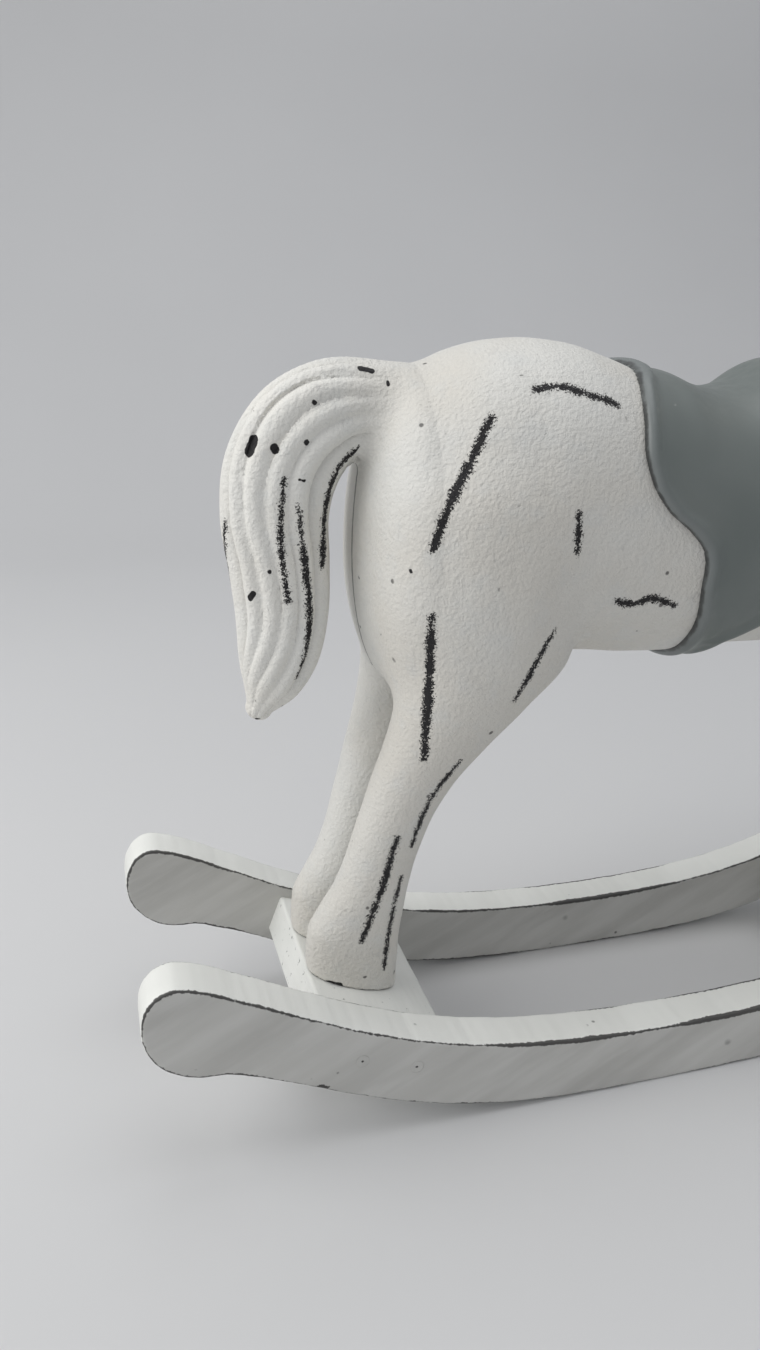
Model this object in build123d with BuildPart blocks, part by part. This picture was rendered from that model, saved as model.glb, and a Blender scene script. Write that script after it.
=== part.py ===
from build123d import *
import math
import os

# Rocking horse ornament: a two-part cast horse, closed along its centre plane,
# standing on two slats between a pair of curved rocker boards.
# Frame: origin on the floor under the middle of the base, +X towards the head,
# +Y to the horse's left, +Z up. Millimetres.

# ---------------------------------------------------------------- dimensions
BASE_WIDTH = 42.0        # over the outer faces of the two rockers
BOARD_T = 6.5            # rocker board thickness
BASE_HALF = 82.9         # half length of a rocker
INNER_Y = BASE_WIDTH / 2 - BOARD_T

SLAT_T = 6.5             # slat thickness
SLAT_LEN = 19.6          # slat size along the rocker
SLAT_X = 48.55           # middle of a slat's top face, from the centre of the base
SLAT_Z = 16.15
SLAT_TILT = 18.8         # degrees, follows the rocker's curve
SLAT_GAP = 0.0           # slats are glued tight between the boards

SADDLE_T = 1.1           # thickness of the saddle skin
SADDLE_SLIT = 0.6        # butt joint of the skin under the belly

PEG_R = 1.5              # pegs between the two body halves
PEG_DEPTH = 5.0
SPIGOT_R = 2.2           # tail spigot
HOOF_Y = 5.35            # centre of a hoof from the centre plane
SCREW_R = 1.1
SCREW_HEAD_R = 2.3
SCREW_HEAD_H = 1.4
SCREW_REACH = 9.0        # screw length above the slat
BRAD_R = 0.6
BRAD_HEAD_R = 1.0
BRAD_HEAD_H = 0.6
BRAD_LEN = 13.5
BRAD_SPACING = 8.6       # between the two brads of one slat end

os.makedirs("parts", exist_ok=True)


def rocker_bottom(x):
    return 0.000764 * x**2 + 1.0974e-6 * x**4 - 1.234e-10 * x**6


def rocker_top(x):
    return 10.13 + 0.001723 * x**2 + 7.684e-7 * x**4 - 8.057e-11 * x**6


# ---------------------------------------------------------------- slat frames
tilt = math.radians(SLAT_TILT)
# top face of the rear slat: local x runs down towards the middle, local z out of the top
rear_top = Plane(
    origin=(-SLAT_X, 0, SLAT_Z),
    x_dir=(math.cos(tilt), 0, -math.sin(tilt)),
    z_dir=(math.sin(tilt), 0, math.cos(tilt)),
)
front_top = Plane(
    origin=(SLAT_X, 0, SLAT_Z),
    x_dir=(-math.cos(tilt), 0, -math.sin(tilt)),
    z_dir=(-math.sin(tilt), 0, math.cos(tilt)),
)
HOOF_ALONG = -2.3        # hoof centre from the slat's middle, along the slat
BRAD_ALONG = (-BRAD_SPACING / 2 + 0.4, BRAD_SPACING / 2 + 0.4)


def on_slat(top, along, y, down):
    """Point on the slat frame: along the slat, across, and below its top face."""
    return top.from_local_coords((along, y if top is rear_top else -y, -down))


# ---------------------------------------------------------------- rockers
# Outline of one board: shallow curve underneath, the same curve above with the
# board growing taller outwards, and a rounded bulb at each end.
# The front half of the outline as arcs through three points each, from near the
# middle of the underside, round the bulb, to the middle of the top.
BULB_ARCS = [
    ((69.6, 15.35), (71.6, 16.0), (73.8, 16.2)),
    ((73.8, 16.2), (79.6, 18.0), (82.9, 24.4)),
    ((82.9, 24.4), (82.0, 29.0), (78.6, 30.85)),
    ((78.6, 30.85), (76.4, 30.5), (74.2, 29.55)),
]
UNDER_X = (12, 20, 28, 38, 48, 59, 69.6)
TOP_X = (74.2, 64, 54, 40, 26, 13, 0)


def half_outline():
    arcs = []
    xs = UNDER_X
    for x0, xm, x1 in zip(xs[0:-2:2], xs[1:-1:2], xs[2::2]):
        end = BULB_ARCS[0][0] if x1 == UNDER_X[-1] else (x1, rocker_bottom(x1))
        arcs.append(((x0, rocker_bottom(x0)), (xm, rocker_bottom(xm)), end))
    arcs += BULB_ARCS
    xs = TOP_X
    for x0, xm, x1 in zip(xs[0:-2:2], xs[1:-1:2], xs[2::2]):
        start = BULB_ARCS[-1][2] if x0 == TOP_X[0] else (x0, rocker_top(x0))
        arcs.append((start, (xm, rocker_top(xm)), (x1, rocker_top(x1))))
    return arcs


brad_points = [
    on_slat(top, a, 0, SLAT_T / 2) for top in (rear_top, front_top) for a in BRAD_ALONG
]

with BuildPart() as rocker_right:
    with BuildSketch(Plane.XZ.offset(INNER_Y)):
        with BuildLine():
            ThreePointArc((-UNDER_X[0], rocker_bottom(UNDER_X[0])), (0, 0), (UNDER_X[0], rocker_bottom(UNDER_X[0])))
            for p, q, r in half_outline():
                ThreePointArc(p, q, r)
            for p, q, r in half_outline():
                ThreePointArc(*[(-x, z) for x, z in (p, q, r)])
        make_face()
    extrude(amount=BOARD_T)

    # brad holes, drilled from the outer face, with the brad heads set flush
    for p in brad_points:
        with BuildSketch(Plane.XZ.offset(BASE_WIDTH / 2)):
            with Locations((p.X, p.Z)):
                Circle(BRAD_HEAD_R)
        extrude(amount=-BRAD_HEAD_H, mode=Mode.SUBTRACT)
        with BuildSketch(Plane.XZ.offset(BASE_WIDTH / 2)):
            with Locations((p.X, p.Z)):
                Circle(BRAD_R)
        extrude(amount=-BOARD_T, mode=Mode.SUBTRACT)
rocker_right.part.label = "rocker_right"

with BuildPart() as rocker_left:
    mirror(rocker_right.part, about=Plane.XZ)
rocker_left.part.label = "rocker_left"

# ---------------------------------------------------------------- slats
slats = {}
for name, top in (("rear_slat", rear_top), ("front_slat", front_top)):
    with BuildPart() as slat:
        with BuildSketch(top):
            Rectangle(SLAT_LEN, 2 * INNER_Y - SLAT_GAP)
        extrude(amount=-SLAT_T)
        fillet(slat.edges().filter_by(Axis.Y), radius=0.4)
        # countersunk clearance for the hoof screws, from underneath
        under = Plane(
            origin=top.from_local_coords((0, 0, -SLAT_T)), x_dir=top.x_dir, z_dir=-top.z_dir
        )
        with Locations(under):
            with Locations((HOOF_ALONG, HOOF_Y), (HOOF_ALONG, -HOOF_Y)):
                CounterSinkHole(
                    radius=SCREW_R,
                    counter_sink_radius=SCREW_HEAD_R,
                    depth=SLAT_T,
                    counter_sink_angle=2 * math.degrees(math.atan((SCREW_HEAD_R - SCREW_R) / SCREW_HEAD_H)),
                )
        # brad holes in both ends
        for a in BRAD_ALONG:
            p = on_slat(top, a, 0, SLAT_T / 2)
            for side in (1, -1):
                with BuildSketch(Plane.XZ.offset(side * INNER_Y)):
                    with Locations((p.X, p.Z)):
                        Circle(BRAD_R)
                extrude(amount=-side * (BRAD_LEN - BOARD_T), mode=Mode.SUBTRACT)
    slat.part.label = name
    slats[name] = slat

# ---------------------------------------------------------------- fasteners
# eight brads, through the rocker boards into the ends of the slats
with BuildPart() as slat_brads:
    for p in brad_points:
        for side in (1, -1):
            with BuildSketch(Plane.XZ.offset(side * BASE_WIDTH / 2)):
                with Locations((p.X, p.Z)):
                    Circle(BRAD_HEAD_R)
            extrude(amount=-side * BRAD_HEAD_H)
            with BuildSketch(Plane.XZ.offset(side * (BASE_WIDTH / 2 - BRAD_HEAD_H))):
                with Locations((p.X, p.Z)):
                    Circle(BRAD_R)
            extrude(amount=-side * (BRAD_LEN - BRAD_HEAD_H))
slat_brads.part.label = "slat_brads"

# four countersunk screws, up through the slats into the hooves
with BuildPart() as hoof_screws:
    for top in (rear_top, front_top):
        for y in (HOOF_Y, -HOOF_Y):
            base = on_slat(top, HOOF_ALONG, y, SLAT_T)
            # profile of the screw in the plane through its own axis
            axis_plane = Plane(origin=base, x_dir=top.y_dir, z_dir=top.y_dir.cross(top.z_dir))
            with BuildSketch(axis_plane):
                with BuildLine():
                    Polyline(
                        (0, 0.9),
                        (0.35, 0.9),
                        (0.9, 0.0),
                        (SCREW_HEAD_R, 0),
                        (SCREW_R, SCREW_HEAD_H),
                        (SCREW_R, SLAT_T + SCREW_REACH - 2.0),
                        (0.15, SLAT_T + SCREW_REACH),
                        (0, SLAT_T + SCREW_REACH),
                        close=True,
                    )
                make_face()
            revolve(axis=Axis(base, top.z_dir))
hoof_screws.part.label = "hoof_screws"

# three pegs that line up the two halves of the casting
PEGS = [(-27.0, 92.0), (24.0, 90.0), (38.5, 120.0)]
with BuildPart() as body_pegs:
    with BuildSketch(Plane.XZ.offset(-PEG_DEPTH)):
        with Locations(*PEGS):
            Circle(PEG_R)
    extrude(amount=2 * PEG_DEPTH)
body_pegs.part.label = "body_pegs"

# ---------------------------------------------------------------- horse
# Barrel from buttocks to breast: x, height of the middle, half width, half height.
BARREL = [
    (-50.6, 83.5, 5.5, 8.0),
    (-48.6, 83.8, 10.5, 15.0),
    (-44.0, 84.6, 14.6, 20.8),
    (-37.0, 85.9, 17.2, 22.6),
    (-29.0, 86.6, 18.0, 23.0),
    (-18.0, 86.4, 17.6, 21.6),
    (-8.0, 85.0, 17.2, 20.2),
    (2.0, 84.2, 17.0, 19.2),
    (12.0, 85.2, 17.2, 20.0),
    (22.0, 86.4, 17.2, 21.2),
    (31.0, 86.6, 16.2, 21.6),
    (38.0, 85.5, 13.4, 18.0),
    (43.0, 84.8, 8.6, 12.0),
    (44.8, 84.6, 4.0, 6.0),
]
# Hind leg and foreleg: z, x, y, half size along x, half size along y.
HIND = [
    (86.0, -35.0, -9.6, 12.5, 8.0),
    (76.0, -34.8, -9.6, 13.4, 8.2),
    (68.0, -34.8, -9.2, 12.2, 7.8),
    (60.0, -37.9, -8.4, 8.7, 6.4),
    (51.0, -42.8, -7.2, 6.2, 5.0),
    (42.0, -45.7, -6.4, 5.3, 4.4),
    (34.5, -47.6, -5.9, 5.3, 4.1),
    (28.0, -49.9, -5.5, 6.7, 4.1),
    (22.0, -50.8, -5.35, 7.1, 4.0),
    (10.0, -50.6, -5.35, 6.9, 3.9),
]
FORE = [
    (86.0, 30.0, -9.0, 11.0, 7.6),
    (76.0, 31.0, -9.2, 11.0, 7.6),
    (68.0, 33.0, -9.0, 9.6, 7.0),
    (60.0, 36.2, -8.2, 7.4, 5.8),
    (51.0, 39.8, -7.2, 5.8, 4.9),
    (42.0, 43.2, -6.4, 5.2, 4.5),
    (34.5, 45.6, -5.9, 4.6, 4.0),
    (28.0, 48.2, -5.5, 5.6, 4.1),
    (22.0, 50.2, -5.35, 6.8, 4.0),
    (10.0, 51.2, -5.35, 7.0, 3.9),
]
# Neck and head: x, z of the middle, direction of the section's normal, half
# size in the centre plane, half width.
NECK = [
    (23.0, 88.0, (0.30, 0.95), 17.5, 13.0),
    (28.5, 101.0, (0.42, 0.91), 15.4, 10.6),
    (34.5, 113.0, (0.45, 0.89), 12.2, 8.2),
    (39.8, 124.0, (0.42, 0.91), 9.8, 6.8),
    (43.5, 133.5, (0.25, 0.97), 8.2, 6.2),
    (44.5, 140.0, (0.05, 1.00), 5.2, 4.6),
]
HEAD = [
    (42.0, 134.5, (0.90, -0.43), 6.0, 5.2),
    (47.5, 131.6, (0.88, -0.47), 9.2, 6.7),
    (54.0, 127.6, (0.86, -0.51), 8.6, 6.3),
    (61.0, 123.0, (0.85, -0.53), 6.7, 5.2),
    (67.5, 118.9, (0.85, -0.53), 5.6, 4.6),
    (72.5, 115.8, (0.85, -0.53), 5.0, 4.3),
    (75.2, 114.1, (0.85, -0.53), 3.0, 2.8),
]


def ring(x, z, normal, a, b):
    """Section plane and half sizes of an ellipse standing on the centre plane."""
    nx, nz = normal
    return Plane(origin=(x, 0, z), x_dir=(0, 1, 0), z_dir=(nx, 0, nz)), b, a


with BuildPart() as barrel:
    for x, zc, ry, rz in BARREL:
        with BuildSketch(Plane.YZ.offset(x)):
            with Locations((0, zc)):
                Ellipse(ry, rz)
    loft()

with BuildPart() as horse:
    add(barrel.part)
    for sections in (HIND, FORE):
        with BuildPart(mode=Mode.PRIVATE) as leg:
            for z, x, y, rx, ry in sections:
                with BuildSketch(Plane.XY.offset(z)):
                    with Locations((x, y)):
                        Ellipse(rx, ry)
            loft()
        add(leg.part)
        mirror(leg.part, about=Plane.XZ)
    for sections in (NECK, HEAD):
        with BuildPart(mode=Mode.PRIVATE) as limb:
            for x, z, nrm, a, wdt in sections:
                pl, b, aa = ring(x, z, nrm, a, wdt)
                with BuildSketch(pl):
                    Ellipse(b, aa)
            loft()
        add(limb.part)
    # ears
    with BuildPart(mode=Mode.PRIVATE) as ear:
        for z, x, y, rx, ry in ((138.0, 43.6, -3.4, 1.9, 1.7), (142.5, 43.4, -3.7, 1.8, 1.6), (147.0, 42.9, -3.9, 1.2, 1.0), (150.0, 42.4, -3.9, 0.35, 0.3)):
            with BuildSketch(Plane.XY.offset(z)):
                with Locations((x, y)):
                    Ellipse(rx, ry)
        loft()
    add(ear.part)
    mirror(ear.part, about=Plane.XZ)
    # the hooves stand flat on the slats
    split(bisect_by=rear_top, keep=Keep.TOP)
    split(bisect_by=front_top, keep=Keep.TOP)

# The mane: a sculpted crest along the neck, with a forelock between the ears.
with BuildPart() as mane:
    with BuildSketch(Plane.XZ.offset(-2.4)):
        with BuildLine():
            Spline(
                (16.0, 104.0), (17.0, 111.0), (21.0, 120.5), (26.5, 131.0), (33.5, 139.8),
                (40.0, 143.9), (46.5, 143.6), (51.5, 139.5), (53.6, 134.5), (49.0, 131.5),
                (40.0, 129.0), (34.0, 120.0), (28.0, 108.0), (21.0, 101.0),
                periodic=True,
            )
        make_face()
    extrude(amount=4.8)
    fillet(mane.faces().filter_by(Axis.Y).edges(), radius=0.9)
    add(horse.part, mode=Mode.SUBTRACT)
mane_part = mane.part.solids().sort_by(SortBy.VOLUME)[-1]

# The tail: springs from the dock, turns down and hangs in a tapering lock.
# x, z, normal, half size in the centre plane, half width.
TAIL = [
    (-41.0, 100.2, (-1.0, 0.10), 4.6, 4.2),
    (-46.5, 100.8, (-1.0, 0.08), 5.0, 4.6),
    (-52.0, 100.6, (-0.96, -0.28), 5.9, 5.0),
    (-57.8, 97.6, (-0.74, -0.67), 7.2, 5.4),
    (-61.2, 90.6, (-0.22, -0.97), 7.1, 5.6),
    (-61.2, 80.5, (0.02, -1.0), 6.8, 5.4),
    (-60.6, 70.5, (0.0, -1.0), 5.7, 4.8),
    (-61.8, 62.8, (-0.22, -0.97), 3.5, 3.2),
    (-63.9, 58.1, (-0.40, -0.92), 0.9, 0.8),
]
with BuildPart() as tail:
    for x, z, nrm, a, wdt in TAIL:
        pl, b, aa = ring(x, z, nrm, a, wdt)
        with BuildSketch(pl):
            Ellipse(b, aa)
    loft()
    add(horse.part, mode=Mode.SUBTRACT)
tail_outer = tail.part.solids().sort_by(SortBy.VOLUME)[-1]
with BuildPart() as tail:
    add(tail_outer)
    # spigot into the dock
    with BuildSketch(Plane.YZ.offset(-50.0)):
        with Locations((0, 100.6)):
            Circle(SPIGOT_R)
    extrude(amount=13.0)
tail.part.label = "tail"

# The saddle skin: everything of a slightly larger barrel that lies outside the
# body, trimmed to the outline of the cloth with its girth.
SADDLE_OUTLINE = [
    (-14.0, 112.0), (-14.3, 106.0), (-15.8, 102.0), (-16.2, 97.5), (-15.0, 92.5),
    (-12.0, 88.4), (-8.6, 85.2), (-7.2, 82.0), (-6.6, 78.0), (-5.4, 73.5), (-2.6, 68.5), (-1.6, 60.0),
]
SADDLE_MID = 2.0
with BuildPart() as saddle_cloth:
    for x, zc, ry, rz in BARREL[3:11]:
        with BuildSketch(Plane.YZ.offset(x)):
            with Locations((0, zc)):
                Ellipse(ry + SADDLE_T, rz + SADDLE_T)
    loft()
    with BuildSketch(Plane.XZ.offset(-30)):
        with BuildLine():
            back = Spline(*SADDLE_OUTLINE)
            front = Spline(*[(2 * SADDLE_MID - x, z) for x, z in reversed(SADDLE_OUTLINE)])
            Line(back @ 1, front @ 0)
            Line(front @ 1, back @ 0)
        make_face()
    extrude(amount=60, mode=Mode.INTERSECT)
    add(horse.part, mode=Mode.SUBTRACT)
    add(mane_part, mode=Mode.SUBTRACT)
    # butt joint under the belly
    with BuildSketch(Plane.XY.offset(55)):
        with Locations((SADDLE_MID, 0)):
            Rectangle(30, SADDLE_SLIT)
    extrude(amount=20, mode=Mode.SUBTRACT)
saddle_solid = saddle_cloth.part.solids().sort_by(SortBy.VOLUME)[-1]
saddle_solid.label = "saddle_cloth"

# The mane stops against the saddle.
with BuildPart() as mane:
    add(mane_part)
mane.part.label = "mane"

# The two halves of the casting, with peg holes, spigot socket and screw holes.
with BuildPart() as body_right_half:
    add(horse.part)
    split(bisect_by=Plane.XZ, keep=Keep.TOP)
    with BuildSketch(Plane.XZ):
        with Locations(*PEGS):
            Circle(PEG_R)
    extrude(amount=PEG_DEPTH, mode=Mode.SUBTRACT)
    with BuildSketch(Plane.YZ.offset(-55.0)):
        with Locations((0, 100.6)):
            Circle(SPIGOT_R)
    extrude(amount=18.0, mode=Mode.SUBTRACT)
    for top in (rear_top, front_top):
        base = on_slat(top, HOOF_ALONG, -HOOF_Y, 0)
        hole = Plane(origin=base, x_dir=(0, 1, 0), z_dir=top.z_dir)
        with BuildSketch(hole):
            Circle(SCREW_R)
        extrude(amount=SCREW_REACH + 0.3, mode=Mode.SUBTRACT)
body_right_half.part.label = "body_right_half"

with BuildPart() as body_left_half:
    mirror(body_right_half.part, about=Plane.XZ)
body_left_half.part.label = "body_left_half"

# ---------------------------------------------------------------- output
export_step(body_right_half.part, "parts/body_right_half.step")
export_step(body_left_half.part, "parts/body_left_half.step")
export_step(body_pegs.part, "parts/body_pegs.step")
export_step(tail.part, "parts/tail.step")
export_step(mane.part, "parts/mane.step")
export_step(saddle_solid, "parts/saddle_cloth.step")
export_step(rocker_right.part, "parts/rocker_right.step")
export_step(rocker_left.part, "parts/rocker_left.step")
export_step(slats["rear_slat"].part, "parts/rear_slat.step")
export_step(slats["front_slat"].part, "parts/front_slat.step")
export_step(slat_brads.part, "parts/slat_brads.step")
export_step(hoof_screws.part, "parts/hoof_screws.step")
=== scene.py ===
import bpy
import bmesh
import math
import numpy as np
from mathutils import Matrix, Vector


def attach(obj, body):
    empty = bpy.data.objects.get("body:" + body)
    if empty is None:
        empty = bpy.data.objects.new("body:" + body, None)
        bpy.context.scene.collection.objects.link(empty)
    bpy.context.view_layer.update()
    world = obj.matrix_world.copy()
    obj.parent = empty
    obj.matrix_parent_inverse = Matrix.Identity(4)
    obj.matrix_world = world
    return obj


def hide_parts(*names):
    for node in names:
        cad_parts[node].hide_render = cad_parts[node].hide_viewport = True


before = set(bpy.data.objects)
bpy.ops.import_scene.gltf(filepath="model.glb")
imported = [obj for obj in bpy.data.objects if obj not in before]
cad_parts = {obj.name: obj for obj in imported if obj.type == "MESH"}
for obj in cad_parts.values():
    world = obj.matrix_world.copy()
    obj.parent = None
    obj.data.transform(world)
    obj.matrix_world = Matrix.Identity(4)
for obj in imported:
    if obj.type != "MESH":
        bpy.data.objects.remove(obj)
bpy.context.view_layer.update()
MM = 0.001
rng = np.random.default_rng(7)

# ------------------------------------------------------------------ small maths
def dense(ts, vs, n=500):
    """A smooth curve through the table: monotone cubic, sampled finely for np.interp."""
    t = np.array(ts, float)
    v = np.array(vs, float)
    h = np.diff(t)
    d = np.diff(v) / h
    m = np.zeros_like(v)
    m[0], m[-1] = d[0], d[-1]
    for i in range(1, len(v) - 1):
        if d[i - 1] * d[i] <= 0:
            m[i] = 0.0
        else:
            w1, w2 = 2 * h[i] + h[i - 1], h[i] + 2 * h[i - 1]
            m[i] = (w1 + w2) / (w1 / d[i - 1] + w2 / d[i])
    x = np.linspace(t[0], t[-1], n)
    k = np.clip(np.searchsorted(t, x) - 1, 0, len(h) - 1)
    s = (x - t[k]) / h[k]
    y = ((1 + 2 * s) * (1 - s) ** 2 * v[k] + s * (1 - s) ** 2 * h[k] * m[k]
         + s * s * (3 - 2 * s) * v[k + 1] + s * s * (s - 1) * h[k] * m[k + 1])
    return x, y


class Table:
    def __init__(self, rows):
        a = np.array(rows, float)
        self.lo, self.hi = a[0, 0], a[-1, 0]
        self.cols = [dense(a[:, 0], a[:, i]) for i in range(1, a.shape[1])]

    def __call__(self, t):
        return [np.interp(t, x, y).astype(np.float32) for x, y in self.cols]


def smin(a, b, k):
    h = np.clip(0.5 + 0.5 * (b - a) / k, 0, 1)
    return b + (a - b) * h - k * h * (1 - h)


def smax(a, b, k):
    return -smin(-a, -b, k)


def sstep(e0, e1, x):
    t = np.clip((x - e0) / (e1 - e0), 0, 1)
    return t * t * (3 - 2 * t)


def pdist(comps, radii, p=2.0):
    """About how far outside a superellipse or superellipsoid a point lies."""
    k = 0
    g = 0
    for c, r in zip(comps, radii):
        q = np.maximum(np.abs(c) / r, 1e-6)
        qp = q ** (p - 1)
        k = k + qp * q
        g = g + (qp / r) ** 2
    k0 = np.maximum(k, 1e-6) ** (1 / p)
    g = k0 ** (1 - p) * np.sqrt(g)
    rmax = max(float(np.max(r)) for r in radii)
    return (k0 - 1) / np.maximum(g, 1.0 / rmax)


def ball(x, y, z, c, r, p=2.0):
    return pdist((x - c[0], y - c[1], z - c[2]), r, p)


class Path:
    """A curve in the centre plane with section sizes along it."""

    def __init__(self, rows, n=70):
        a = np.array(rows, float)
        self.cum = np.r_[0, np.cumsum(np.hypot(np.diff(a[:, 0]), np.diff(a[:, 1])))]
        s = np.linspace(0, self.cum[-1], n)
        pts = []
        for i in (0, 1):
            pts.append(self._smooth(self.cum, a[:, i], s))
        self.p = np.stack(pts, 1)
        self.s = s
        self.tab = Table(np.c_[self.cum, a[:, 2:]])
        self.L = self.cum[-1]

    @staticmethod
    def _smooth(t, v, s):
        m = np.gradient(v, t)
        k = np.clip(np.searchsorted(t, s) - 1, 0, len(t) - 2)
        h = t[k + 1] - t[k]
        u = (s - t[k]) / h
        return ((1 + 2 * u) * (1 - u) ** 2 * v[k] + u * (1 - u) ** 2 * h * m[k]
                + u * u * (3 - 2 * u) * v[k + 1] + u * u * (u - 1) * h * m[k + 1])

    def locate(self, x, z):
        """Arc length, signed offset (left of the direction of travel is +) and overshoot."""
        x = np.asarray(x, np.float32)
        z = np.asarray(z, np.float32)
        shape = np.broadcast(x, z).shape
        X = np.broadcast_to(x, shape)
        Z = np.broadcast_to(z, shape)
        best = np.full(shape, 1e9, np.float32)
        S = np.zeros(shape, np.float32)
        N = np.zeros(shape, np.float32)
        O = np.zeros(shape, np.float32)
        P = self.p
        last = len(P) - 2
        for i in range(len(P) - 1):
            ax, az = P[i]
            dx, dz = P[i + 1] - P[i]
            L = math.hypot(dx, dz)
            tx, tz = dx / L, dz / L
            u = (X - ax) * tx + (Z - az) * tz
            uc = np.clip(u, 0, L)
            n = (X - ax) * (-tz) + (Z - az) * tx
            o = u - uc
            dist = np.hypot(o, n)
            ends = (i == 0) or (i == last)
            better = dist < best
            best = np.where(better, dist, best)
            S = np.where(better, self.s[i] + uc, S)
            sign = np.where(n >= 0, 1, -1)
            keep_o = (o < 0) if i == 0 else ((o > 0) if i == last else np.zeros(shape, bool))
            N = np.where(better, np.where(keep_o, n, sign * dist), N)
            O = np.where(better, np.where(keep_o, o, 0), O)
        return S, N, O


# ------------------------------------------------------------------ surface nets
def nets(f, lo, hi, h):
    """A quad mesh of f = 0 inside the box, with its points drawn onto the surface."""
    ax = [np.arange(l, u + h, h, dtype=np.float32) for l, u in zip(lo, hi)]
    X, Y, Z = ax[0][:, None, None], ax[1][None, :, None], ax[2][None, None, :]
    F = np.asarray(f(X, Y, Z), np.float32)
    F = np.broadcast_to(F, (len(ax[0]), len(ax[1]), len(ax[2])))
    F = np.where(F == 0, 1e-5, F)
    neg = F < 0
    corners = [(i, j, k) for i in (0, 1) for j in (0, 1) for k in (0, 1)]
    sl = lambda a, c: a[c[0]:a.shape[0] - 1 + c[0], c[1]:a.shape[1] - 1 + c[1], c[2]:a.shape[2] - 1 + c[2]]
    cnt = sum(sl(neg, c).astype(np.int8) for c in corners)
    mixed = (cnt > 0) & (cnt < 8)
    idx = np.argwhere(mixed)
    ids = -np.ones(mixed.shape, np.int64)
    ids[mixed] = np.arange(len(idx))
    acc = np.zeros((len(idx), 3))
    num = np.zeros(len(idx))
    edges = [(a, b) for a in corners for b in corners if sum(b) - sum(a) == 1 and all(q >= p for p, q in zip(a, b)) and sum(abs(q - p) for p, q in zip(a, b)) == 1]
    for a, b in edges:
        fa = F[idx[:, 0] + a[0], idx[:, 1] + a[1], idx[:, 2] + a[2]]
        fb = F[idx[:, 0] + b[0], idx[:, 1] + b[1], idx[:, 2] + b[2]]
        c = (fa < 0) != (fb < 0)
        t = np.where(c, fa / np.where(c, fa - fb, 1), 0)
        for d in range(3):
            acc[:, d] += np.where(c, a[d] + t * (b[d] - a[d]), 0)
        num += c
    V = (idx + acc / num[:, None]) * h + np.array([ax[0][0], ax[1][0], ax[2][0]])
    quads = []
    for d in range(3):
        o = [e for e in range(3) if e != d]
        n0 = [slice(None)] * 3
        n1 = [slice(None)] * 3
        n0[d], n1[d] = slice(0, -1), slice(1, None)
        a, b = neg[tuple(n0)], neg[tuple(n1)]
        cross = np.argwhere(a != b)
        cross = cross[(cross[:, o[0]] > 0) & (cross[:, o[1]] > 0) & (cross[:, o[0]] < neg.shape[o[0]] - 1) & (cross[:, o[1]] < neg.shape[o[1]] - 1)]
        inside = a[tuple(cross.T)]
        q = []
        for s0, s1 in ((-1, -1), (0, -1), (0, 0), (-1, 0)):
            c = cross.copy()
            c[:, o[0]] += s0
            c[:, o[1]] += s1
            q.append(ids[tuple(c.T)])
        q = np.stack(q, 1)
        flip = inside if d != 1 else ~inside
        q = np.where(flip[:, None], q, q[:, ::-1])
        quads.append(q)
    Q = np.concatenate(quads)
    Q = Q[(Q >= 0).all(1)]
    for _ in range(2):
        fv, g = value_grad(f, V)
        V = V - np.clip(fv / np.maximum((g ** 2).sum(1), 0.05), -0.5 * h, 0.5 * h)[:, None] * g
    return V, Q


def value_grad(f, V, e=0.05):
    x, y, z = (V[:, i].astype(np.float32) for i in range(3))
    f0 = np.asarray(f(x, y, z), float)
    g = np.stack([
        np.asarray(f(x + e, y, z), float) - np.asarray(f(x - e, y, z), float),
        np.asarray(f(x, y + e, z), float) - np.asarray(f(x, y - e, z), float),
        np.asarray(f(x, y, z + e), float) - np.asarray(f(x, y, z - e), float)], 1) / (2 * e)
    return f0, g


def make_mesh(name, V, Q, smooth=True):
    me = bpy.data.meshes.new(name)
    me.from_pydata((np.asarray(V) * MM).tolist(), [], [list(map(int, q)) for q in Q])
    me.validate()
    me.update()
    if smooth:
        me.polygons.foreach_set("use_smooth", np.ones(len(me.polygons), bool))
    ob = bpy.data.objects.new(name, me)
    bpy.context.scene.collection.objects.link(ob)
    return ob


def coords(ob):
    co = np.zeros(len(ob.data.vertices) * 3)
    ob.data.vertices.foreach_get("co", co)
    return co.reshape(-1, 3) / MM


def attribute(ob, name, values):
    a = ob.data.attributes.get(name) or ob.data.attributes.new(name, "FLOAT", "POINT")
    a.data.foreach_set("value", np.asarray(values, np.float32))


# ------------------------------------------------------------------ the horse's form, in millimetres
# x, top, bottom, half width
BARREL = Table([
    (-44.0, 105.2, 62.5, 15.2),
    (-38.5, 107.9, 62.6, 17.2),
    (-33.0, 109.3, 63.0, 18.0),
    (-28.5, 109.7, 65.8, 18.2),
    (-24.0, 109.4, 67.2, 18.0),
    (-18.0, 107.9, 66.9, 17.6),
    (-12.0, 105.9, 66.3, 17.2),
    (-5.0, 103.9, 66.1, 17.0),
    (0.0, 103.2, 66.3, 17.0),
    (6.0, 103.8, 66.7, 17.0),
    (13.0, 105.8, 66.6, 17.2),
    (22.0, 106.8, 66.2, 17.2),
    (30.0, 105.5, 66.2, 16.4),
    (37.0, 101.0, 68.0, 13.8),
])


def barrel(x, y, z, grow=0.0):
    xc = np.clip(x, -44.0, 37.0)
    top, bot, hw = BARREL(xc)
    zc = bot + (top - bot) * 0.49
    over = x - xc
    c = np.where(x < 0, 7.1, 7.6)
    r = np.where(z > zc, top - zc, zc - bot)
    p = 2.35 - 0.27 * (1 - sstep(-47.0, -36.0, x))
    return pdist((z - zc, y, over), (r + grow, hw + grow, c + grow), p)


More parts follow.
